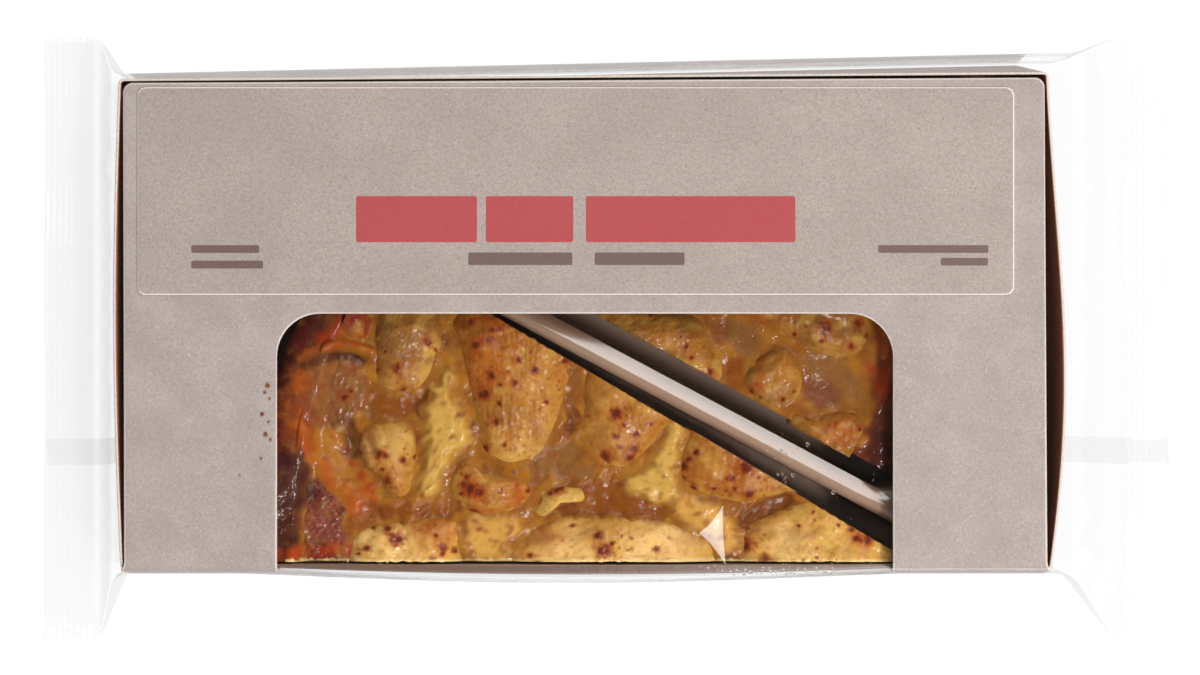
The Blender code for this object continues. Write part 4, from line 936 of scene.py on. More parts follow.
# Filling that shows between the chunks: colour, how far it stands over or under the level, and round patches,
# each its x, y and radius in a row
fillings = {
    1: (
        ("yellow", 2.6, (
            -33.5, -17.5, 1.6, -31.0, -14.5, 2.2, -28.5, -11.0, 1.8, -29.0, -18.5, 3.6, -26.5, -23.0, 3.0,
            -30.0, -23.5, 3.2, -31.0, -29.0, 2.8, -32.5, -33.5, 2.4)),
        ("golden", 1.6, (-37.0, -38.0, 2.6, -41.0, -37.5, 2.4, -34.0, -37.0, 2.2, -30.0, -37.5, 1.8)),
        ("orange", 0.6, (-47.5, -35.8, 2.0, -44.5, -36.4, 2.2)),
        ("amber", -1.0, (-43.0, -16.8, 2.6, -39.0, -17.4, 2.4, -35.0, -16.8, 2.6, -32.6, -14.8, 1.6)),
        ("greyBrown", -0.6, (-46.0, -17.0, 2.0, -2.6, -10.5, 2.2, -3.0, -15.5, 2.0, -29.2, -3.0, 1.6)),
        ("deepAmber", -1.2, (-2.7, -21.2, 1.9, -2.4, -18.5, 1.4)),
        ("greyBrown", -0.8, (
            -9.5, -28.8, 2.2, -6.0, -27.6, 2.4, -3.0, -26.4, 2.2, -4.5, -30.5, 2.4, -10.0, -31.5, 1.8,
            0.0, -30.8, 2.0)),
        # behind the front chunks: a real glaze trough, its dark amber partly painted shade
        ("amber", -1.4, (
            -3.0, -35.0, 2.8, 2.0, -34.8, 3.0, 6.5, -34.6, 3.0, 11.0, -36.6, 2.6, 15.5, -38.4, 2.4,
            -4.0, -38.2, 2.0, 2.0, -37.8, 2.4, 8.0, -37.6, 2.4)),
        ("yellow", 1.8, (
            9.8, -33.2, 1.8, 13.0, -32.6, 2.4, 16.0, -31.2, 2.6, 16.8, -34.4, 2.4, 14.2, -35.2, 1.8)),
        ("yellow", 1.2, (17.0, -27.8, 2.0, 18.2, -24.4, 2.0, 18.6, -21.2, 1.8, 16.0, -28.6, 1.6)),
        ("frontGold", 0.8, (
            21.0, -37.8, 2.6, 23.0, -40.6, 2.6, 25.6, -38.6, 2.4, 28.0, -42.0, 2.6, 29.6, -46.0, 2.6)),
        # behind the front chunk: a real glaze trough, its deep amber partly painted shade
        ("deepAmber", -1.6, (33.6, -40.4, 2.2, 36.4, -38.8, 2.4, 39.6, -37.2, 2.0, 42.0, -36.4, 1.6)),
        # behind the front chunk: a real glaze trough, its dark amber partly painted shade
        ("amber", -1.2, (
            -45.5, -38.6, 1.8, -42.0, -38.6, 2.0, -38.0, -38.8, 2.0, -33.5, -38.4, 2.2, -29.0, -38.6, 2.2)),
        ("frontGold", 1.2, (
            -20.5, -42.5, 3.4, -22.5, -46.0, 3.2, -18.5, -47.5, 2.8, -15.5, -42.0, 2.4, -23.0, -41.6, 2.2)),
    ),
    2: (
        # slice 2 lies by the lid's edge: its duller greys and browns are partly the filling's own colour,
        # partly painted shade of the lid
        ("greyBrown", -0.4, (
            31.0, -1.5, 3.0, 34.0, -4.0, 2.6, 50.0, -11.0, 4.0, 54.0, -13.0, 4.0, 47.0, -9.0, 3.0)),
        ("amber", -0.6, (30.5, -8.5, 2.4, 31.5, -12.0, 2.4, 28.0, -0.5, 2.0)),
        ("mauve", -0.4, (50.0, -14.5, 3.0, 62.0, -22.0, 3.0, 47.5, -14.0, 2.6)),
    ),
}

# What the oven did by the rim, over filling, pastry and the chunks there alike, and in the mauve patches partly
# a painted reflection of the film's haze: colour and round patches
skins = {
    1: (
        ("crustOrange", (-54.6, -3.0, 1.6, -51.8, -1.6, 1.6, -50.2, 0.6, 1.8)),
        ("redBrown", (-58.2, -1.4, 3.0, -60.0, -5.0, 2.4)),
        # mauve: partly the skin's own colour, partly a painted reflection of the film's haze
        ("dustyMauveAndReflection", (-55.0, -11.0, 4.0, -51.5, -13.5, 4.4, -53.5, -17.5, 4.2, -56.5, -15.0, 3.0)),
        ("orange", (-58.6, -10.8, 2.2, -59.4, -13.4, 1.8)),
        ("rust", (-60.0, -17.0, 3.4, -58.8, -21.0, 3.2, -60.8, -24.0, 3.0)),
        ("golden", (-53.6, -23.5, 2.4, -51.6, -27.0, 2.6, -50.4, -30.2, 2.6, -53.6, -29.2, 1.8)),
        ("crustOrange", (-46.4, -31.6, 1.3, -45.0, -33.6, 1.2, -48.4, -29.0, 1.0, -49.6, -26.6, 0.9)),
        ("plum", (-62.0, -28.5, 3.4, -59.6, -31.5, 3.4, -61.4, -35.5, 3.6, -58.2, -35.4, 2.4)),
        ("crustBrown", (-62.4, -40.5, 3.6, -61.4, -45.0, 3.2, -62.5, -1.0, 3.0, -62.0, -6.5, 2.2)),
        # flat mauve: partly the skin's own colour, partly a painted reflection in the film
        ("flatMauveAndReflection", (-54.6, -38.4, 2.8, -53.6, -42.0, 3.2, -51.4, -44.2, 2.2, -56.8, -42.0, 2.2)),
    ),
    2: (
        ("rust", (60.5, -10.5, 2.2, 62.5, -14.5, 3.0, 62.5, -7.0, 2.6)),
        ("crustOrange", (59.6, -9.0, 1.3, 61.4, -12.4, 1.2)),
    ),
}

# Folds and creases of the baked surface, one of them a painted shadow: colour, rise, width and the line they
# follow
folds = {
    1: (
        # painted shadow: the dark line just in front of the orange fold is the shade that the fold's overhang
        # casts on what lies below it
        ("darkTroughAndShadow", -0.7, 1.2, (-58.2, -8.4, -54.0, -6.8, -50.0, -6.2, -46.2, -7.0)),
        ("orange", 0.9, 1.0, (-59.2, -6.8, -55.0, -5.0, -51.3, -4.0, -47.6, -4.2, -44.6, -5.4)),
        ("orange", 0.5, 2.0, (-60.8, -18.0, -56.4, -26.4, -52.4, -33.0, -47.0, -38.2)),
        ("crustOrange", 0.3, 1.5, (-63.5, -47.6, -55.0, -47.0, -48.0, -46.4)),
        ("darkTroughAndShadow", -1.0, 2.0, (-49.8, -20.6, -48.6, -23.0, -48.4, -26.0)),
    ),
    2: (
        ("crustOrange", 0.6, 2.2, (62.5, -2.0, 63.5, -8.0, 63.0, -14.0)),
    ),
}


def squareToDisc(count):
    # Concentric map of a square grid onto a disc: the radius is the larger of |u|, |v|, and the angle runs
    # evenly along each square ring
    a = np.linspace(-1, 1, count)
    u, v = np.meshgrid(a, a, indexing="ij")
    wide = np.abs(u) > np.abs(v)
    radius = np.maximum(np.abs(u), np.abs(v))
    safeU = np.where(u == 0, 1e-9, u)
    safeV = np.where(v == 0, 1e-9, v)
    angle = np.where(wide, np.pi / 4 * v / safeU + np.where(u < 0, np.pi, 0),
                     np.pi / 2 - np.pi / 4 * u / safeV + np.where(v < 0, np.pi, 0))
    return radius, angle


def rimLoop(rows, cols):
    # Indices round the border of a rows x cols grid
    grid = np.arange(rows * cols).reshape(rows, cols)
    return np.concatenate([grid[0, :], grid[1:, -1], grid[-1, -2::-1], grid[-2:0:-1, 0]])


def closedTop(top, footZ, levels, shrink=1.0):
    # A top surface, walls that drop from its border to a level foot, and a bottom drawn to one point.
    # Returns points, quads, and for each point its share of the drop (0 on top).
    rows, cols = top.shape[:2]
    flat = top.reshape(-1, 3)
    border = rimLoop(rows, cols)
    middle = np.append(flat[:, :2].mean(0), footZ)
    shares = np.linspace(0, 1, levels + 1)[1:]
    walls = np.repeat(flat[border][None], levels + 1, 0)
    walls[:-1, :, :2] = mixed(middle[:2], walls[:-1, :, :2], mixed(1.0, shrink, shares)[:, None, None])
    walls[:-1, :, 2] = mixed(walls[:-1, :, 2], footZ, shares[:, None])
    walls[-1] = middle
    loops = np.vstack([border, np.arange(walls[..., 0].size).reshape(levels + 1, -1) + len(flat)])
    above, below = loops[:-1], loops[1:]
    sides = np.stack([above, np.roll(above, -1, 1), np.roll(below, -1, 1), below], -1).reshape(-1, 4)
    drops = np.concatenate([np.zeros(len(flat)), np.repeat(np.append(shares, 1.0), len(border))])
    return np.vstack([flat, walls.reshape(-1, 3)]), np.vstack([gridFaces(rows, cols), sides]), drops


def wedgeEnd(piece, radius):
    # The second cut's angle at a radius from the tip, held back where the tray's ridge stands in its way
    apart = piece["apex"] - trayMiddle
    offCrest = abs(apart[0] * ridgeWay[1] - apart[1] * ridgeWay[0])
    room = offCrest - sliceSize["ridgeRoom"]
    ridgeHeading = np.pi - ridgeAngle if piece["side"] > 0 else -ridgeAngle
    parallel = piece["heading"] - ridgeHeading
    return np.minimum(sliceSize["wedge"], parallel + np.arcsin(np.minimum(1.0, room / radius)))


def wedgePlace(piece, radius, share):
    # Polar place in a slice: radius from its tip, share of the way from its first cut to its second
    angle = piece["heading"] - share * wedgeEnd(piece, radius)
    apex = piece["apex"]
    return apex[0] + radius * np.cos(angle), apex[1] + radius * np.sin(angle)


def cutRoom(piece, middle, angles, wallReach):
    # How far each ray from a chunk's middle runs before a cut, the ridge or the pastry stops it
    ways = np.stack([np.cos(angles), np.sin(angles)], -1)
    first = piece["heading"]
    second = piece["heading"] - sliceSize["wedge"]
    lines = (
        (piece["apex"], np.array([-np.sin(first), np.cos(first)])),
        (piece["apex"], np.array([np.sin(second), -np.cos(second)])),
        (trayMiddle + ridgeOut * piece["side"] * sliceSize["ridgeRoom"], -ridgeOut * piece["side"]),
    )
    room = np.full(angles.shape, np.inf)
    for point, out in lines:
        facing = ways @ out
        reach = (point - middle) @ out / np.where(facing > 1e-6, facing, 1e-6)
        room = np.minimum(room, np.where(facing > 1e-6, np.maximum(reach, 0.05), np.inf))
    ends = middle + ways * np.where(np.isfinite(room), room, 0)[..., None]
    room = room - sliceSize["cutRagged"] * (0.6 + 0.5 * wavesOf(ends[..., 0], ends[..., 1], 2.4, 17))
    offset = middle - piece["apex"]
    along = ways @ offset
    inner = -along + np.sqrt(np.maximum(along ** 2 - offset @ offset + wallReach ** 2, 0))
    return np.minimum(room, inner)


def outlineRadius(outline, angles):
    # Distance from the outline's middle to a closed Catmull-Rom curve through its points, by angle
    points = np.reshape(outline, (-1, 2))
    t = np.linspace(0, 1, 24, endpoint=False)[:, None]
    p0, p1, p2, p3 = (np.roll(points, shift, 0)[:, None] for shift in (1, 0, -1, -2))
    curve = 0.5 * (2 * p1 + (p2 - p0) * t + (2 * p0 - 5 * p1 + 4 * p2 - p3) * t ** 2
                   + (3 * p1 - p0 - 3 * p2 + p3) * t ** 3)
    curve = curve.reshape(-1, 2)
    middle = (curve.max(0) + curve.min(0)) / 2
    away = curve - middle
    heading = np.arctan2(away[:, 1], away[:, 0])
    order = np.argsort(heading)
    reach = np.linalg.norm(away, axis=1)[order]
    radius = np.interp(angles.ravel(), heading[order], reach, period=2 * np.pi)
    return middle, radius.reshape(angles.shape)


def superellipseOutline(spec, seed):
    # An outline for a chunk under the lid: superellipse of power 2.5 with two slow waves round it
    x, y, halfLength, halfWidth, _, turn, _ = spec
    chance = np.random.default_rng(seed)
    angle = np.linspace(0, 2 * np.pi, 16, endpoint=False)
    local = angle - np.radians(turn)
    radius = (np.abs(np.cos(local)) / halfLength) ** 2.5 + (np.abs(np.sin(local)) / halfWidth) ** 2.5
    waves = 0.06 * np.sin(2 * angle + chance.uniform(0, 6)) + 0.05 * np.sin(3 * angle + chance.uniform(0, 6))
    radius = radius ** (-1 / 2.5) * (1 + waves)
    return np.stack([x + radius * np.cos(angle), y + radius * np.sin(angle)], -1)


def segmentDistance(x, y, x0, y0, x1, y1):
    # Distance to the nearest point of a straight line's stretch
    span = (x1 - x0) ** 2 + (y1 - y0) ** 2
    share = np.clip(((x - x0) * (x1 - x0) + (y - y0) * (y1 - y0)) / span, 0, 1)
    return np.hypot(x - x0 - share * (x1 - x0), y - y0 - share * (y1 - y0))


def paint(colours, mask, tone):
    # Lays one colour over others by a mask
    return mixed(colours, tones[tone], np.ravel(mask)[:, None])


def fieldOf(x, y, patches):
    # Round patches run together where they touch: sum of exp(-(distance / radius)^2), with a wavy border
    field = 0.14 * wavesOf(x, y, 4.0, 66) + 0.06 * wavesOf(x, y, 1.7, 67)
    for px, py, radius in np.reshape(patches, (-1, 3)):
        field = field + np.exp(-((x - px) ** 2 + (y - py) ** 2) / radius ** 2)
    return field


def creaseOf(x, y, width, line):
    # 1 on a crease's line, falling off as exp(-(distance / width)^2)
    places = np.reshape(line, (-1, 2))
    gap = np.min([segmentDistance(x, y, *a, *b) for a, b in zip(places, places[1:])], axis=0)
    return np.exp(-(gap / (width * (1 + 0.25 * wavesOf(x, y, 3.0, 74)))) ** 2)


def paintRim(colours, number, x, y):
    # The rim's own browning by distance from the slice's tip, then its skins and creases, among them a painted
    # shadow and, in part, a painted reflection
    piece = slices[number]
    away = np.hypot(x - piece["apex"][0], y - piece["apex"][1]) + 1.3 * wavesOf(x, y, 5.0, 73)
    inner = sliceSize["radius"] - sliceSize["rimThickness"]
    colours = paint(colours, 0.9 * smoothStep(inner - 3.5, inner + 0.5, away), "redBrown")
    colours = paint(colours, 0.8 * smoothStep(inner, inner + 3.5, away), "crustBrown")
    for tone, patches in skins[number]:
        colours = paint(colours, 0.8 * smoothStep(0.0, 1.0, fieldOf(x, y, patches)), tone)
    uneven = np.clip(0.62 + 0.25 * wavesOf(x, y, 4.0, 75), 0, 1)
    for tone, _, width, line in folds[number]:
        colours = paint(colours, uneven * smoothStep(0.05, 0.9, creaseOf(x, y, width, line)), tone)
    return colours


def sliceNumber(name):
    # The chunk "apple_2_05" lies in slice 2
    return int(name.split("_")[1])


def rimSurface(x, y):
    # Height of the baked rim: level with slow waves
    return sliceSize["rimTop"] - 0.5 + 0.22 * wavesOf(x, y, 12.0, 81) + 0.07 * wavesOf(x, y, 4.0, 82)


def paintSpots(colours, x, y, spots, seed):
    # Caramelised spots: a dark uneven core in an orange halo
    chance = np.random.default_rng(seed)
    wobble = 0.35 * wavesOf(x, y, 1.6, seed + 1) + 0.25 * wavesOf(x, y, 0.9, seed + 2)
    for sx, sy, radius in np.reshape(spots, (-1, 3)):
        distance = np.hypot(x - sx, (y - sy) * chance.uniform(0.85, 1.15)) / radius
        uneven = distance * (1 + 0.45 * wobble)
        halo = 0.75 * np.exp(-(np.maximum(uneven - 0.8, 0) / 0.75) ** 2)
        colours = paint(colours, np.clip(halo, 0, 1), "halo")
        colours = paint(colours, 0.88 * smoothStep(1.15, 0.45, uneven), "spot")
    return colours


def chunkHeight(chunk, seed, middle, own, x, y):
    # Top of a chunk. t = distance / outline; the crown (1 - t^2.8)^0.8 carries a slope, waves and furrows.
    # Returns height, t and how deep in a furrow each place is.
    t = np.clip(np.hypot(x - middle[0], y - middle[1]) / own, 0, 1)
    crown = (1 - t ** 2.8) ** 0.8
    lean = chunk.get("lean", (0, 0))
    z = (chunk["height"] + 1.1 + 2.0 * (lean[0] * (x - middle[0]) + lean[1] * (y - middle[1]))) * crown
    relief = 0.34 * wavesOf(x, y, 8.0, seed + 10) + 0.13 * wavesOf(x, y, 3.0, seed + 11)
    if chunk.get("sunken"):
        # baked in under the rim's skin: it follows that skin, a little proud, and has a flat top
        apex = slices[chunk["sunken"]]["apex"]
        inner = sliceSize["radius"] - sliceSize["rimThickness"]
        climb = smoothStep(inner, inner + 4.0, np.hypot(x - apex[0], y - apex[1]))
        skin = mixed(sliceSize["custardTop"] + 0.55, rimSurface(x, y) + 0.15, climb)
        z = (skin - sliceSize["chunkFoot"]) * (1 - t ** 8)
        relief = 0.5 * relief
    z += (relief + 0.05 * wavesOf(x, y, 1.2, seed + 12)) * (1 - t ** 4)
    furrowed = np.zeros_like(z)
    for x0, y0, x1, y1, width, depth in chunk.get("furrows", ()):
        cut = np.exp(-(segmentDistance(x, y, x0, y0, x1, y1) / width) ** 2)
        z -= depth * cut * (1 - t ** 6)
        furrowed = np.maximum(furrowed, cut * min(1.0, depth * 2))
    return sliceSize["chunkFoot"] + z, t, furrowed


def buildChunk(name, chunk, material, seed, spacing):
    # A disc of points scaled to the outline or the cuts, whichever is nearer; its sides drop to a level foot
    number = sliceNumber(name)
    piece = slices[number]
    count = int(np.clip(np.ptp(np.reshape(chunk["outline"], (-1, 2)), axis=0).max() / spacing, 30, 120))
    share, angles = squareToDisc(count)
    middle, own = outlineRadius(chunk["outline"], angles)
    room = cutRoom(piece, middle, angles, chunk.get("reach", sliceSize["chunkReach"]))
    radius = share * np.minimum(own, room)
    x = middle[0] + radius * np.cos(angles)
    y = middle[1] + radius * np.sin(angles)
    z, t, furrowed = chunkHeight(chunk, seed, middle, own, x, y)
    firstCut = piece["heading"]
    fromCut = (piece["apex"][0] - x) * -np.sin(firstCut) + (piece["apex"][1] - y) * np.cos(firstCut)
    fromCut = fromCut + 0.2 * wavesOf(x, y, 1.6, seed + 25)
    levels = 6
    points, quads, _ = closedTop(np.stack([x, y, z], -1), sliceSize["chunkFoot"] - 0.6, levels)
    isTop = np.arange(len(points)) < x.size
    sides = len(points) - x.size
    edge = np.concatenate([t.ravel(), np.tile(t.ravel()[rimLoop(count, count)], levels + 1)])
    deep = np.concatenate([furrowed.ravel(), np.zeros(sides)])
    x, y, z = points.T
    colours = np.repeat(tones[chunk["colour"]][None], len(points), 0)
    colours = paint(colours, 0.2 * np.clip(wavesOf(x, y, 6.0, seed + 20), 0, 1), "orange")
    colours = paint(colours, 0.4 * np.clip(wavesOf(x, y, 5.0, seed + 23), 0, 1), "yellow")
    for tx, ty, radius, tone in chunk.get("tints", ()):
        distance = np.hypot(x - tx, y - ty) / radius
        uneven = distance * (1 + 0.3 * wavesOf(x, y, 3.0, seed + 21))
        colours = paint(colours, 0.6 * smoothStep(1.4, 0.2, uneven), tone)
    colours = paint(colours, 0.5 * deep, "amber")
    # painted shade and light on the chunk's border: the flank turned to the back is painted amber as shade, the
    # one turned to the front pale as painted light from the front
    flankShadeAndLight = smoothStep(0.78, 0.98, edge + 0.04 * wavesOf(x, y, 2.2, seed + 22)) * isTop
    if chunk.get("sunken"):
        colours = paintRim(colours, number, x, y)
        flankShadeAndLight = 0 * flankShadeAndLight
    forward = smoothStep(0.35, -0.35, (y - middle[1]) / np.ptp(y))
    colours = paint(colours, 0.6 * flankShadeAndLight * (1 - forward), "amber")
    colours = paint(colours, 0.5 * flankShadeAndLight * forward, "frontGold")
    # a knife cut leaves the side and the first cut's edge pale
    nearCut = smoothStep(0.75, 0.2, np.concatenate([fromCut.ravel(), np.full(sides, 9.0)]))
    colours = paint(colours, 0.85 * nearCut, "flesh")
    colours = paint(colours, 0.85 * np.where(isTop, 0.0, smoothStep(0.99, 0.93, edge)), "flesh")
    colours = paintSpots(colours, x, y, chunk.get("spots", ()), seed + 30)
    # freckles gather in patches
    chance = np.random.default_rng(seed + 40)
    for fx, fy in chance.uniform(points[:, :2].min(0), points[:, :2].max(0), (3 * chunk.get("freckles", 0), 2)):
        strength = np.clip(0.45 + 0.7 * wavesOf(fx, fy, 9.0, seed + 41), 0, 1) * chance.uniform(0.25, 1.0)
        distance = np.hypot(x - fx, y - fy) / chance.uniform(0.15, 0.5)
        colours = paint(colours, strength * smoothStep(1.3, 0.3, distance), "halo")
    apple = makePiece(name.replace("apple", "baked_apple"), points, [material], quads,
                      attributes={"tint": colours})
    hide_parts(name)


def allChunks():
    # Every chunk by name, each with the seed of its own unevenness
    specs = dict(chunks)
    for index, (name, spec) in enumerate(hiddenChunks.items()):
        specs[name] = {"outline": superellipseOutline(spec, 200 + index), "height": spec[4], "colour": spec[6],
                       "freckles": 12}
    return {name: (spec, 300 + 7 * index) for index, (name, spec) in enumerate(specs.items())}


def buildCustard(number, material, specs):
    # Filling: level with slow waves, patches that stand up or sink, and a lip that climbs each chunk's flank
    piece = slices[number]
    size = sliceSize
    coarse = 1 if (number == 1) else 2
    radius = np.linspace(size["tipRadius"], size["radius"] - size["rimThickness"] + 0.8, 420 // coarse)[:, None]
    share = np.linspace(0, 1, 190 // coarse)[None, :]
    x, y = wedgePlace(piece, radius, share)
    z = size["custardTop"] + 0.2 * wavesOf(x, y, 9.0, 62) + 0.05 * wavesOf(x, y, 3.0, 63)
    colours = np.repeat(tones["custard"][None], x.size, 0)
    colours = paint(colours, 0.45 * np.clip(wavesOf(x, y, 7.0, 64), 0, 1), "amber")
    colours = paint(colours, 0.35 * np.clip(wavesOf(x, y, 5.0, 69), 0, 1), "greyBrown")
    for tone, rise, patches in fillings[number]:
        field = fieldOf(x, y, patches)
        z = z + 0.6 * rise * smoothStep(0.1, 0.9, field)
        colours = paint(colours, 0.85 * smoothStep(0.08, 0.85, field), tone)
    # towards the rim the filling has baked up onto the pastry and gone dark
    z = mixed(z, rimSurface(x, y), smoothStep(radius.max() - 5.5, radius.max() - 1.3, radius + 0 * x))
    lip = 0.3 + 0.35 * wavesOf(x, y, 3.4, 71)
    for name, (chunk, seed) in specs.items():
        if sliceNumber(name) != number:
            continue
        middle, _ = outlineRadius(chunk["outline"], np.zeros(1))
        away = np.hypot(x - middle[0], y - middle[1])
        _, own = outlineRadius(chunk["outline"], np.arctan2(y - middle[1], x - middle[0]))
        flank, t, _ = chunkHeight(chunk, seed, middle, own, x, y)
        inward = np.clip(own - away, 0, None)
        climbing = flank + lip - 0.55 * inward
        z = np.where(away < own, np.maximum(z, np.minimum(climbing, flank + 0.5)), z)
        beside = np.exp(-((away - own) / 1.2) ** 2) * np.clip(0.4 + 0.6 * wavesOf(x, y, 8.0, 72), 0, 1)
        colours = paint(colours, 0.6 * beside, "amber")
    for _, rise, width, line in folds[number]:
        z = z + rise * creaseOf(x, y, width, line)
    colours = paintRim(colours, number, x.ravel(), y.ravel())
    # pale where the knife crushed the first cut
    fromCut = radius * wedgeEnd(piece, radius) * share + 0.2 * wavesOf(x, y, 1.6, 75)
    colours = paint(colours, 0.85 * smoothStep(0.75, 0.2, fromCut), "flesh")
    # the last half millimetre dives under the pastry's skin
    z = z - 0.3 * smoothStep(radius.max() - 0.5, radius.max(), radius + 0 * x)
    bubbles = np.random.default_rng(70 + number)
    for bx, by in bubbles.uniform((x.min(), y.min()), (x.max(), y.max()), (size["bubbles"], 2)):
        distance = np.hypot(x - bx, y - by) / bubbles.uniform(0.25, 0.6)
        z = z - size["bubbleDepth"] * smoothStep(1.0, 0.2, distance)
    levels = 14
    points, quads, drop = closedTop(np.stack([x, y, z], -1), size["custardFoot"], levels, shrink=0.985)
    colours = np.vstack([colours, np.tile(colours[rimLoop(*x.shape)], (levels + 1, 1))])
    colours = paint(colours, smoothStep(0.02, 0.08, drop), "flesh")
    custard = makePiece(f"baked_custard_{number}", points, [material], quads, attributes={"tint": colours})
    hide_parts(f"custard_{number}")


def buildPastry(number, material):
    # Base and rim as one profile swept round the slice: over the base, up the inner slope, over the ragged
    # rim and down the leaning outer wall
    piece = slices[number]
    size = sliceSize
    floor = size["foot"] + size["baseThickness"]
    outer, inner = size["radius"] + size["rimSpread"], size["radius"] - size["rimThickness"]
    steps = 240
    share = np.linspace(0, 1, steps)[None, :]
    top, foot = size["rimTop"], size["foot"]
    corners = [
        (size["tipRadius"], floor), (inner - 12.0, floor), (inner - size["rimLean"], floor),
        (inner - 0.9, size["custardTop"] - 1.0), (inner - 0.9, top - 0.3), (inner - 0.1, top),
        (inner - 0.06, top), (outer - 3.4, top), (outer - 1.2, top - 0.5), (outer - 0.1, top - 2.2),
        (outer - 0.8, top * 0.6), (outer - size["rimLean"], foot),
    ]
    # the inner top corner stays exact, so that filling and rim meet without a bevel
    profile = np.vstack([resample(corners[:2], 30)[:-1], resample(corners[1:6], 45), resample(corners[6:], 50)])
    radius = np.repeat(profile[:, :1], steps, 1)
    height = np.repeat(profile[:, 1:], steps, 1)
    x, y = wedgePlace(piece, radius, share)
    isRim = smoothStep(size["custardTop"] - 2, top - 1, height) * smoothStep(inner - 3, inner, radius)
    height = height + (rimSurface(x, y) + 0.018 - top) * isRim  # a hair over the filling
    wall = smoothStep(foot, foot + 3, height) * smoothStep(outer - 3.5, outer - 1.5, radius)
    around = share * 90 + 0 * height
    radius = radius + wall * (0.16 * wavesOf(around, height, 9.0, 84) + 0.05 * wavesOf(around, height, 2.5, 85))
    x, y = wedgePlace(piece, radius, share)
    points, quads, drop = closedTop(np.stack([x, y, height], -1), foot, 8)
    px, py, pz = points.T
    colours = np.repeat(tones["biscuit"][None], len(points), 0)
    browned = smoothStep(top - 6, top - 2, pz)[:, None]
    colours = mixed(colours, paintRim(colours, number, px, py), browned)
    colours = paint(colours, 0.9 * smoothStep(0.0, 0.12, drop) * (drop > 0), "flesh")
    colours = paint(colours, 0.2 * np.clip(wavesOf(px + pz, py - pz, 2.0, 87), 0, 1), "crustBrown")
    pastry = makePiece(f"shortcrust_{number}", points, [material], quads, attributes={"tint": colours},
                       sharpDegrees=50)
    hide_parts(f"pastry_{number}")


# Materials

def layNoise(tree, place, base, layers):
    # Lays tones over a base colour, each where its own noise is high. A layer: the size of its lumps in mm, the
    # noise's detail, roughness and distortion, where it starts and is full, its greatest share and its tone.
    colour, noises = base, []
    for size, detail, roughness, distortion, low, high, most, tone, *blend in layers:
        noises.append(addNode(tree, "TexNoise", {"Vector": place, "Scale": 1 / (size * mm), "Detail": detail,
                                                 "Roughness": roughness, "Distortion": distortion})[0])
        share = addNode(tree, "MapRange", {0: noises[-1], 1: low, 2: high, 4: most}, **smooth)[0]
        colour = addNode(tree, "Mix", {0: share, 6: colour, 7: tone}, data_type="RGBA",
                         blend_type=blend[0] if blend else "MIX")[2]
    return colour, noises


def bumpLayers(tree, layers):
    # Reliefs laid one over the other, and the normal after each. A layer: the coordinates it reads, the size of
    # its lumps in mm, the noise's detail, roughness and distortion, its depth in mm and its strength.
    normals = []
    for vector, size, detail, roughness, distortion, depth, strength in layers:
        lumps = addNode(tree, "TexNoise", {"Vector": vector, "Scale": 1 / (size * mm), "Detail": detail,
                                           "Roughness": roughness, "Distortion": distortion})[0]
        below = {"Normal": normals[-1]} if normals else {}
        normals.append(addNode(tree, "Bump", {"Height": lumps, "Distance": depth * mm, "Strength": strength,
                                              **below})[0])
    return normals


# Food: wrinkles as size and depth in mm, depth of the fruit's fibres in mm, and how strong each effect is
foodFinishes = {
    "glazedBakedApple": {"bumps": ((2.6, 0.1),), "fibreDepth": 0.06, "subsurface": 0.2, "coat": 0.5,
                         "variety": 0.5},
    "bakedCustard": {"bumps": ((1.8, 0.08), (0.45, 0.04)), "fibreDepth": 0.0, "subsurface": 0.2, "coat": 0.45,
                     "variety": 0.3},
    "bakedShortcrust": {"bumps": ((2.6, 0.1), (0.5, 0.05)), "fibreDepth": 0.0, "subsurface": 0.05, "coat": 0.6,
                        "variety": 0.5},
}


def bakedFood(name):
    # Baked food under a thin glaze: colour from the mesh's tint, varied in soft mottles, light that sinks in a
    # little, and a satin wet top over wrinkles and, in fruit, short fibres
    look = foodFinishes[name]
    material, tree = newMaterial(name)
    place = addNode(tree, "TexCoord")["Object"]
    tint = addNode(tree, "Attribute", attribute_name="tint")["Color"]
    colour, _ = layNoise(tree, place, tint, (
        (1.5, 5.0, 0.65, 0.4, 0.46, 0.74, look["variety"], "#b0733c", "MULTIPLY"),
        (3.4, 4.0, 0.6, 0.6, 0.48, 0.75, look["variety"], "#6a4c1c", "SCREEN"),
    ))
    layers = [(place, size, 3.0, 0.55, 0.4, depth, 1.0) for size, depth in look["bumps"]]
    if look["fibreDepth"]:
        drawn = addNode(tree, "Mapping", {"Vector": place, "Rotation": (0.0, 0.0, 0.5),
                                          "Scale": (1.0, 0.3, 1.0)})[0]
        layers.append((drawn, 0.5, 3.0, 0.6, 0.8, look["fibreDepth"], 1.0))
    layers.append((place, 1.1, 2.0, 0.5, 0.3, 0.12, 1.0))  # the wet top, which only the coat follows
    normals = bumpLayers(tree, layers)
    shader = addNode(tree, "BsdfPrincipled", {
        "Base Color": colour, "Normal": normals[-2], "Coat Normal": normals[-1], "IOR": 1.42, "Roughness": 0.55,
        "Specular IOR Level": 0.08, "Coat Weight": look["coat"], "Coat Roughness": 0.12, "Coat IOR": 1.4,
        "Subsurface Weight": look["subsurface"], "Subsurface Radius": (1.0, 0.45, 0.15),
        "Subsurface Scale": 0.0025,
    })[0]
    addNode(tree, "OutputMaterial", {0: shader})
    return material


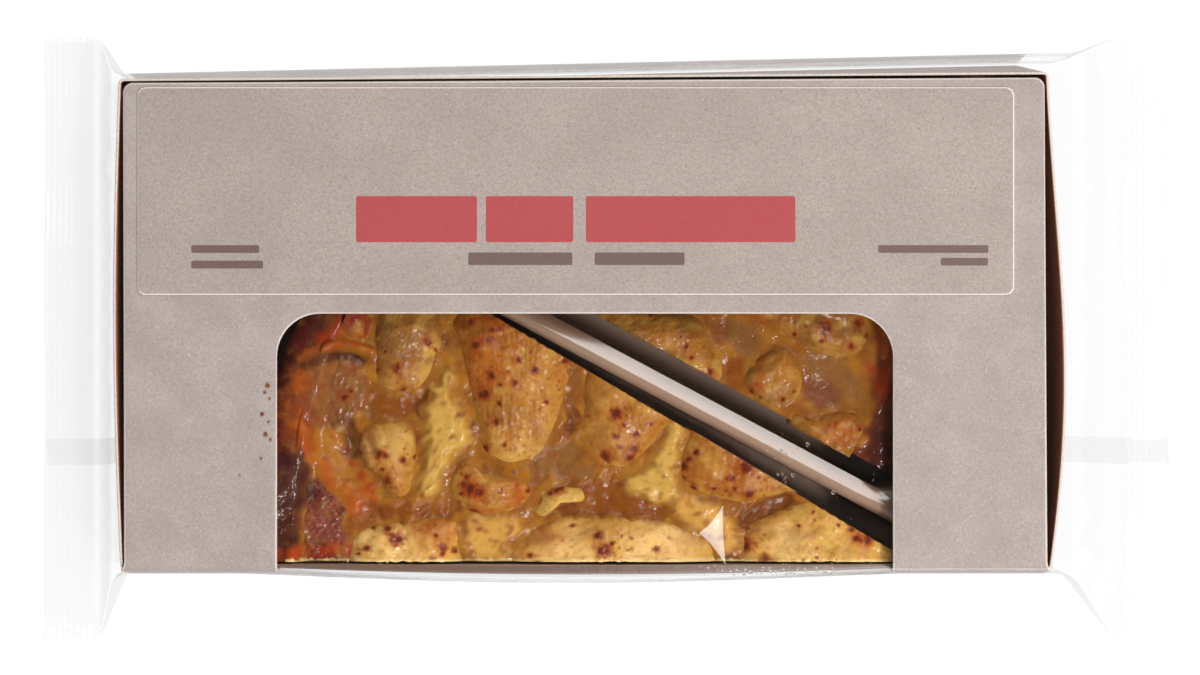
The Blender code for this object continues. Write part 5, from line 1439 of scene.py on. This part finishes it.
# Paper, board and crumb: base tone, layers of noise over it, roughness, gloss level, and the bump's layer,
# depth in mm and strength. The fibres are drawn 2 to 3 times as coarse as real ones, so that they show.
fibreFinishes = {
    # kraft-lined folding boxboard, calendered: matt grey-beige with short darker and lighter fibres
    "kraftLinedBoard": {
        "base": "#a3958f", "roughness": 0.72, "gloss": 0.4, "bump": (1, 0.03, 0.6),
        "layers": ((9.0, 2.0, 0.5, 0.0, 0.3, 0.7, 1.0, "#ada09a"),
                   (0.55, 4.0, 0.65, 1.2, 0.38, 0.66, 0.5, "#887b76"),
                   (0.4, 3.0, 0.6, 0.8, 0.54, 0.74, 0.4, "#d8ccc5")),
    },
    # the same board's unlined side: red-brown recycled fibre, rougher
    "uncoatedBoardInside": {
        "base": "#c07a58", "roughness": 0.85, "gloss": 0.5, "bump": (0, 0.04, 0.6),
        "layers": ((0.6, 4.0, 0.65, 1.0, 0.35, 0.7, 1.0, "#a4603f"),),
    },
    # die-cut edge of the board: pale pulp in thin layers
    "dieCutBoardEdge": {
        "base": "#ddd2c8", "roughness": 0.9, "gloss": 0.5, "bump": None,
        "layers": ((0.22, 2.0, 0.5, 0.0, 0.35, 0.65, 1.0, "#c2b6ac"),),
    },
    # uncoated label paper: fine even fibres
    "uncoatedLabelPaper": {
        "base": "#a3968d", "roughness": 0.6, "gloss": 0.45, "bump": (1, 0.02, 0.5),
        "layers": ((14.0, 2.0, 0.5, 0.0, 0.3, 0.7, 1.0, "#ab9d94"),
                   (0.45, 4.0, 0.65, 1.2, 0.4, 0.66, 0.75, "#867a72"),
                   (0.35, 3.0, 0.6, 0.6, 0.56, 0.76, 0.5, "#d2c6bd")),
    },
    # dry pastry crumbs: rough, toasted unevenly
    "dryPastryCrumb": {
        "base": "#6e3d22", "roughness": 0.9, "gloss": 0.5, "bump": (0, 0.1, 1.0),
        "layers": ((0.5, 3.0, 0.5, 0.0, 0.35, 0.65, 1.0, "#a87246"),),
    },
}
printFields = {
    "title": {"colour": "#a82a31", "radius": 0.5,
              "boxes": ((-47.1, -22.2, 17.0, 26.5), (-20.4, -2.4, 17.0, 26.5), (0.2, 43.3, 17.0, 26.5))},
    "smallPrint": {"colour": "#5f463f", "radius": 0.35,
                   "boxes": ((-24.0, -2.6, 12.3, 14.9), (2.0, 20.5, 12.3, 14.9),
                             (-81.0, -67.0, 14.8, 16.4), (-81.0, -66.2, 11.6, 13.2),
                             (60.3, 83.0, 14.8, 16.4), (73.2, 82.9, 12.2, 13.8))},
}


def printField(tree, axes, box, radius):
    # 1 inside a rounded box: distance to the inset box under the radius
    squares = []
    for axis, low, high in zip(axes, box[::2], box[1::2]):
        away = addNode(tree, "Math", {0: axis, 1: (low + high) / 2 * mm}, operation="SUBTRACT")[0]
        size = addNode(tree, "Math", {0: away}, operation="ABSOLUTE")[0]
        over = addNode(tree, "Math", {0: size, 1: ((high - low) / 2 - radius) * mm}, operation="SUBTRACT")[0]
        past = addNode(tree, "Math", {0: over, 1: 0.0}, operation="MAXIMUM")[0]
        squares.append(addNode(tree, "Math", {0: past, 1: 2.0}, operation="POWER")[0])
    total = addNode(tree, "Math", {0: squares[0], 1: squares[1]}, operation="ADD")[0]
    distance = addNode(tree, "Math", {0: total}, operation="SQRT")[0]
    edge = {0: distance, 1: (radius + 0.06) * mm, 2: (radius - 0.06) * mm}
    return addNode(tree, "MapRange", edge, **smooth)[0]


def printedOver(tree, place, colour, fibre):
    # The bare cut edge is painted pale, a painted highlight where it catches light; over the rest lie flat
    # fields of ink, which soaks in a little unevenly
    cut = addNode(tree, "Attribute", attribute_name="cut")["Fac"]
    colour = addNode(tree, "Mix", {0: cut, 6: colour, 7: "#f4ece4"}, data_type="RGBA")[2]
    axes = addNode(tree, "SeparateXYZ", {0: place})
    soak = addNode(tree, "MapRange", {0: fibre, 1: 0.25, 2: 0.6, 3: 1.0, 4: 0.86}, **smooth)[0]
    for field in printFields.values():
        for box in field["boxes"]:
            mask = printField(tree, axes, box, field["radius"])
            soaked = addNode(tree, "Math", {0: mask, 1: soak}, operation="MULTIPLY")[0]
            colour = addNode(tree, "Mix", {0: soaked, 6: colour, 7: field["colour"]}, data_type="RGBA")[2]
    return colour


def fibreMaterial(name, printed=False):
    # One of the fibre finishes above
    look = fibreFinishes[name]
    material, tree = newMaterial(name)
    place = addNode(tree, "TexCoord")["Object"]
    colour, noises = layNoise(tree, place, look["base"], look["layers"])
    if printed:
        colour = printedOver(tree, place, colour, noises[look["bump"][0]])
    settings = {"Base Color": colour, "Roughness": look["roughness"], "IOR": 1.5,
                "Specular IOR Level": look["gloss"]}
    if look["bump"]:
        layer, depth, strength = look["bump"]
        relief = {"Height": noises[layer], "Distance": depth * mm, "Strength": strength}
        settings["Normal"] = addNode(tree, "Bump", relief)[0]
    addNode(tree, "OutputMaterial", {0: addNode(tree, "BsdfPrincipled", settings)[0]})
    return material


filmFinish = {"clear": "#fefefe", "milky": "#e4e5e6", "mostMilky": 0.06, "facetTip": (0.26, 0.49, 0.0),
              "facetGloss": 0.15}


def clearFilm():
    # Oriented polypropylene film, 30 microns: clear, with a sharp gloss that shows only where it leans
    material, tree = newMaterial("clearPolypropyleneFilm")
    place = addNode(tree, "TexCoord")["Object"]
    normal = bumpLayers(tree, [(place, 14.0, 3.0, 0.6, 2.0, 0.25, 0.5)])[0]
    gloss = addNode(tree, "BsdfGlossy", {"Roughness": 0.06, "Normal": normal})[0]
    clear = addNode(tree, "BsdfTransparent", {"Color": filmFinish["clear"]})[0]
    # Schlick: share of gloss = 0.034 + 0.966 * (1 - cosine)^5, the same from inside and outside
    facing = addNode(tree, "LayerWeight", {"Blend": 0.5, "Normal": normal})["Facing"]
    fifth = addNode(tree, "Math", {0: facing, 1: 5.0}, operation="POWER")[0]
    share = addNode(tree, "Math", {0: fifth, 1: 0.966, 2: 0.034}, operation="MULTIPLY_ADD")[0]
    shiny = addNode(tree, "MixShader", {0: share, 1: clear, 2: gloss})[0]
    # crimping and sealing leave the film a little milky
    milky = addNode(tree, "BsdfDiffuse", {"Color": filmFinish["milky"]})[0]
    pressed = addNode(tree, "Attribute", attribute_name="pressed")["Fac"]
    pressed = addNode(tree, "MapRange", {0: pressed, 1: 0.0, 2: 1.0, 4: filmFinish["mostMilky"]}, **smooth)[0]
    whole = addNode(tree, "MixShader", {0: pressed, 1: shiny, 2: milky})[0]
    addNode(tree, "OutputMaterial", {0: whole})
    return material


def creasedFilm():
    # The same film where two creases tip a facet towards the back box: both its faces mirror it
    material, tree = newMaterial("creasedPolypropyleneFilm")
    shape = addNode(tree, "NewGeometry")["Normal"]
    tipped = addNode(tree, "VectorMath", {0: shape, 1: filmFinish["facetTip"]}, operation="ADD")[0]
    tipped = addNode(tree, "VectorMath", {0: tipped}, operation="NORMALIZE")[0]
    gloss = addNode(tree, "BsdfGlossy", {"Roughness": 0.05, "Normal": tipped})[0]
    clear = addNode(tree, "BsdfTransparent", {"Color": filmFinish["clear"]})[0]
    shiny = addNode(tree, "MixShader", {0: filmFinish["facetGloss"], 1: clear, 2: gloss})[0]
    addNode(tree, "OutputMaterial", {0: shiny})
    return material


def waterDrops():
    # Condensation: clear water, smooth, index 1.33
    material, tree = newMaterial("condensedWater")
    shader = addNode(tree, "BsdfPrincipled", {"Base Color": "#ffffff", "Roughness": 0.02, "IOR": 1.33,
                                              "Transmission Weight": 1.0})[0]
    addNode(tree, "OutputMaterial", {0: shader})
    return material


trayFinish = {
    "plastic": "#5f483c", "cloud": "#735a4b", "roughness": (0.2, 0.42),
    # shares that change along an axis (0 to 2): from and to in mm, and the share reached
    "ramps": {"forward": (1, -48.9, -49.3, 1.0), "high": (2, 24.0, 28.0, 1.0), "heavier": (0, -60.0, 50.0, 1.0),
              "paintedWallLight": (2, 28.8, 27.0, 0.85), "crestSheen": (2, 28.9, 30.0, 0.7), "behind": (1, -48.6, -48.0, 1.0)},
    # the pocket walls' lighter grey-brown is painted light where they lie in shade
    "tones": {"front": "#6d5446", "paintedWallLight": "#9c8070", "crestSheen": "#a5856c"},
}


def trayPlastic():
    # Thermoformed PET, dark brown: high gloss with a faint orange peel from the mould. Dried fat and starch
    # dull the front flange, most to the right. The pocket walls under the rim are painted a lighter grey-brown,
    # painted light where they lie in shade; and from 28.9 mm up, behind the front flange, the plastic is
    # painted a lighter brown, a painted sheen that carries the ridge's highlight down its flanks.
    look = trayFinish
    material, tree = newMaterial("thermoformedBrownPet")
    place = addNode(tree, "TexCoord")["Object"]
    axes = addNode(tree, "SeparateXYZ", {0: place})
    shares = {}
    for key, (axis, start, end, most) in look["ramps"].items():
        ramp = {0: axes[axis], 1: start * mm, 2: end * mm, 4: most}
        shares[key] = addNode(tree, "MapRange", ramp, **smooth)[0]
    smear = addNode(tree, "TexNoise", {"Vector": place, "Scale": 1 / (2.5 * mm), "Detail": 3.0,
                                       "Roughness": 0.6, "Distortion": 1.0})[0]
    shares["smear"] = addNode(tree, "MapRange", {0: smear, 1: 0.3, 2: 0.7, 3: 0.5, 4: 0.9}, **smooth)[0]
    for product, first, second in (("front", "forward", "high"), ("smear", "smear", "front"),
                                   ("dull", "smear", "heavier"), ("crestSheen", "crestSheen", "behind")):
        pair = {0: shares[first], 1: shares[second]}
        shares[product] = addNode(tree, "Math", pair, operation="MULTIPLY")[0]
    clouds = ((12.0, 2.0, 0.5, 0.0, 0.3, 0.7, 1.0, look["cloud"]),)
    colour, _ = layNoise(tree, place, look["plastic"], clouds)
    # the tones: the front flange's residue, painted light on the pocket walls in shade, and a painted sheen on
    # the crest
    for key, tone in look["tones"].items():
        colour = addNode(tree, "Mix", {0: shares[key], 6: colour, 7: tone}, data_type="RGBA")[2]
    low, high = look["roughness"]
    rough = addNode(tree, "MapRange", {0: shares["dull"], 3: low, 4: high}, **smooth)[0]
    peel = bumpLayers(tree, [(place, 1.6, 2.0, 0.5, 0.0, 0.006, 0.5)])[0]
    shader = addNode(tree, "BsdfPrincipled", {"Base Color": colour, "Roughness": rough, "Normal": peel,
                                              "IOR": 1.65, "Specular IOR Level": 1.0})[0]
    addNode(tree, "OutputMaterial", {0: shader})
    return material


# Floor, light and camera

studio = {
    "floorHalf": 1.6, "floorGap": 0.0006, "cameraHeight": 0.9, "imageWidthMm": 247.0, "middle": (3.1, -2.6),
    "sensor": 36.0, "floor": "#404040", "floorGlow": 0.965, "overhead": 0.12, "around": 0.3, "frontShare": 0.8,
    "backShare": 1.2,
    # name, way from the middle, degrees from the zenith, metres away, sides in metres, watts
    "softboxes": (
        ("boxAlongTheBack", (0.47, 0.88), 48.0, 1.3, (0.75, 1.35), 11.2),
        ("boxInFront", (0.3, -0.95), 52.0, 1.6, (0.9, 0.9), 11.4),
        ("smallBoxForSparkle", (0.75, -0.66), 28.0, 1.3, (0.16, 0.16), 10.2),
    ),
}


def buildStudio():
    # White light table, a dark space over it for the camera, dim walls, a box that leans in from the back,
    # the main box in front and a small one for sparkle
    scene = bpy.context.scene
    half = studio["floorHalf"]
    floorZ = filmSize["bottom"] * mm - studio["floorGap"]
    mesh = bpy.data.meshes.new("floor")
    corners = [(x, y, floorZ) for x, y in ((-half, -half), (half, -half), (half, half), (-half, half))]
    mesh.from_pydata(corners, [], [(0, 1, 2, 3)])
    material, tree = newMaterial("whiteLightTable")
    glow = {"Base Color": studio["floor"], "Roughness": 0.9, "Emission Color": "#ffffff",
            "Emission Strength": studio["floorGlow"]}
    addNode(tree, "OutputMaterial", {0: addNode(tree, "BsdfPrincipled", glow)[0]})
    mesh.materials.append(material)
    floor = bpy.data.objects.new("floor", mesh)
    scene.collection.objects.link(floor)

    world = bpy.data.worlds.new("softStudio")
    world.use_nodes = True
    tree = world.node_tree
    way = addNode(tree, "SeparateXYZ", {0: addNode(tree, "TexCoord")["Generated"]})
    overhead = {0: way[2], 1: 0.60, 2: 0.97, 3: studio["around"], 4: studio["overhead"]}
    depth = {0: way[1], 1: -0.7, 2: 0.5, 3: studio["frontShare"], 4: studio["backShare"]}
    fades = [addNode(tree, "MapRange", fade, **smooth)[0] for fade in (overhead, depth)]
    strength = addNode(tree, "Math", dict(enumerate(fades)), operation="MULTIPLY")[0]
    background = tree.nodes["Background"].inputs
    tree.links.new(strength, background["Strength"])
    background["Color"].default_value = (1.0, 1.0, 1.0, 1.0)
    scene.world = world
    scene.view_settings.view_transform = "Standard"

    for name, (x, y), fromZenith, away, sides, watts in studio["softboxes"]:
        light = bpy.data.lights.new(name, "AREA")
        light.shape = "RECTANGLE"
        light.size, light.size_y = sides
        light.energy = watts
        lamp = bpy.data.objects.new(name, light)
        angle = np.radians(fromZenith)
        lamp.location = (x * np.sin(angle) * away, y * np.sin(angle) * away, np.cos(angle) * away)
        lamp.rotation_euler = (-lamp.location).to_track_quat("-Z", "Y").to_euler()
        scene.collection.objects.link(lamp)

    camera = bpy.data.cameras.new("camera")
    camera.sensor_width = studio["sensor"]
    camera.lens = studio["sensor"] * studio["cameraHeight"] / (studio["imageWidthMm"] * mm)
    camera.clip_start = 0.01
    eye = bpy.data.objects.new("camera", camera)
    x, y = studio["middle"]
    eye.location = (x * mm, y * mm, cartonSize["lidTop"] * mm + studio["cameraHeight"])
    scene.collection.objects.link(eye)
    scene.camera = eye
    print("studio built")


def main():
    # Outside in: carton, label and tray, then the slices, the film with its drops and crumbs, and the studio
    board = [fibreMaterial(name) for name in ("kraftLinedBoard", "uncoatedBoardInside", "dieCutBoardEdge")]
    buildLidSheet(board)
    buildWalls(board)
    buildLabel(fibreMaterial("uncoatedLabelPaper", printed=True))
    buildTray(trayPlastic())
    print("carton, label and tray built")
    apple, custard, crust = (bakedFood(name) for name in foodFinishes)
    specs = allChunks()
    for name, (chunk, seed) in specs.items():
        buildChunk(name, chunk, apple, seed, 0.5 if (name in hiddenChunks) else 0.28)
    for number in slices:
        buildCustard(number, custard, specs)
        buildPastry(number, crust)
    print("slices built:", len(specs), "apple chunks")
    film = clearFilm()
    buildFilm(film)
    buildSealStrip(film)
    buildCreaseFacet(creasedFilm())
    buildScattered(waterDrops(), fibreMaterial("dryPastryCrumb"))
    print("film built")
    buildStudio()


main()
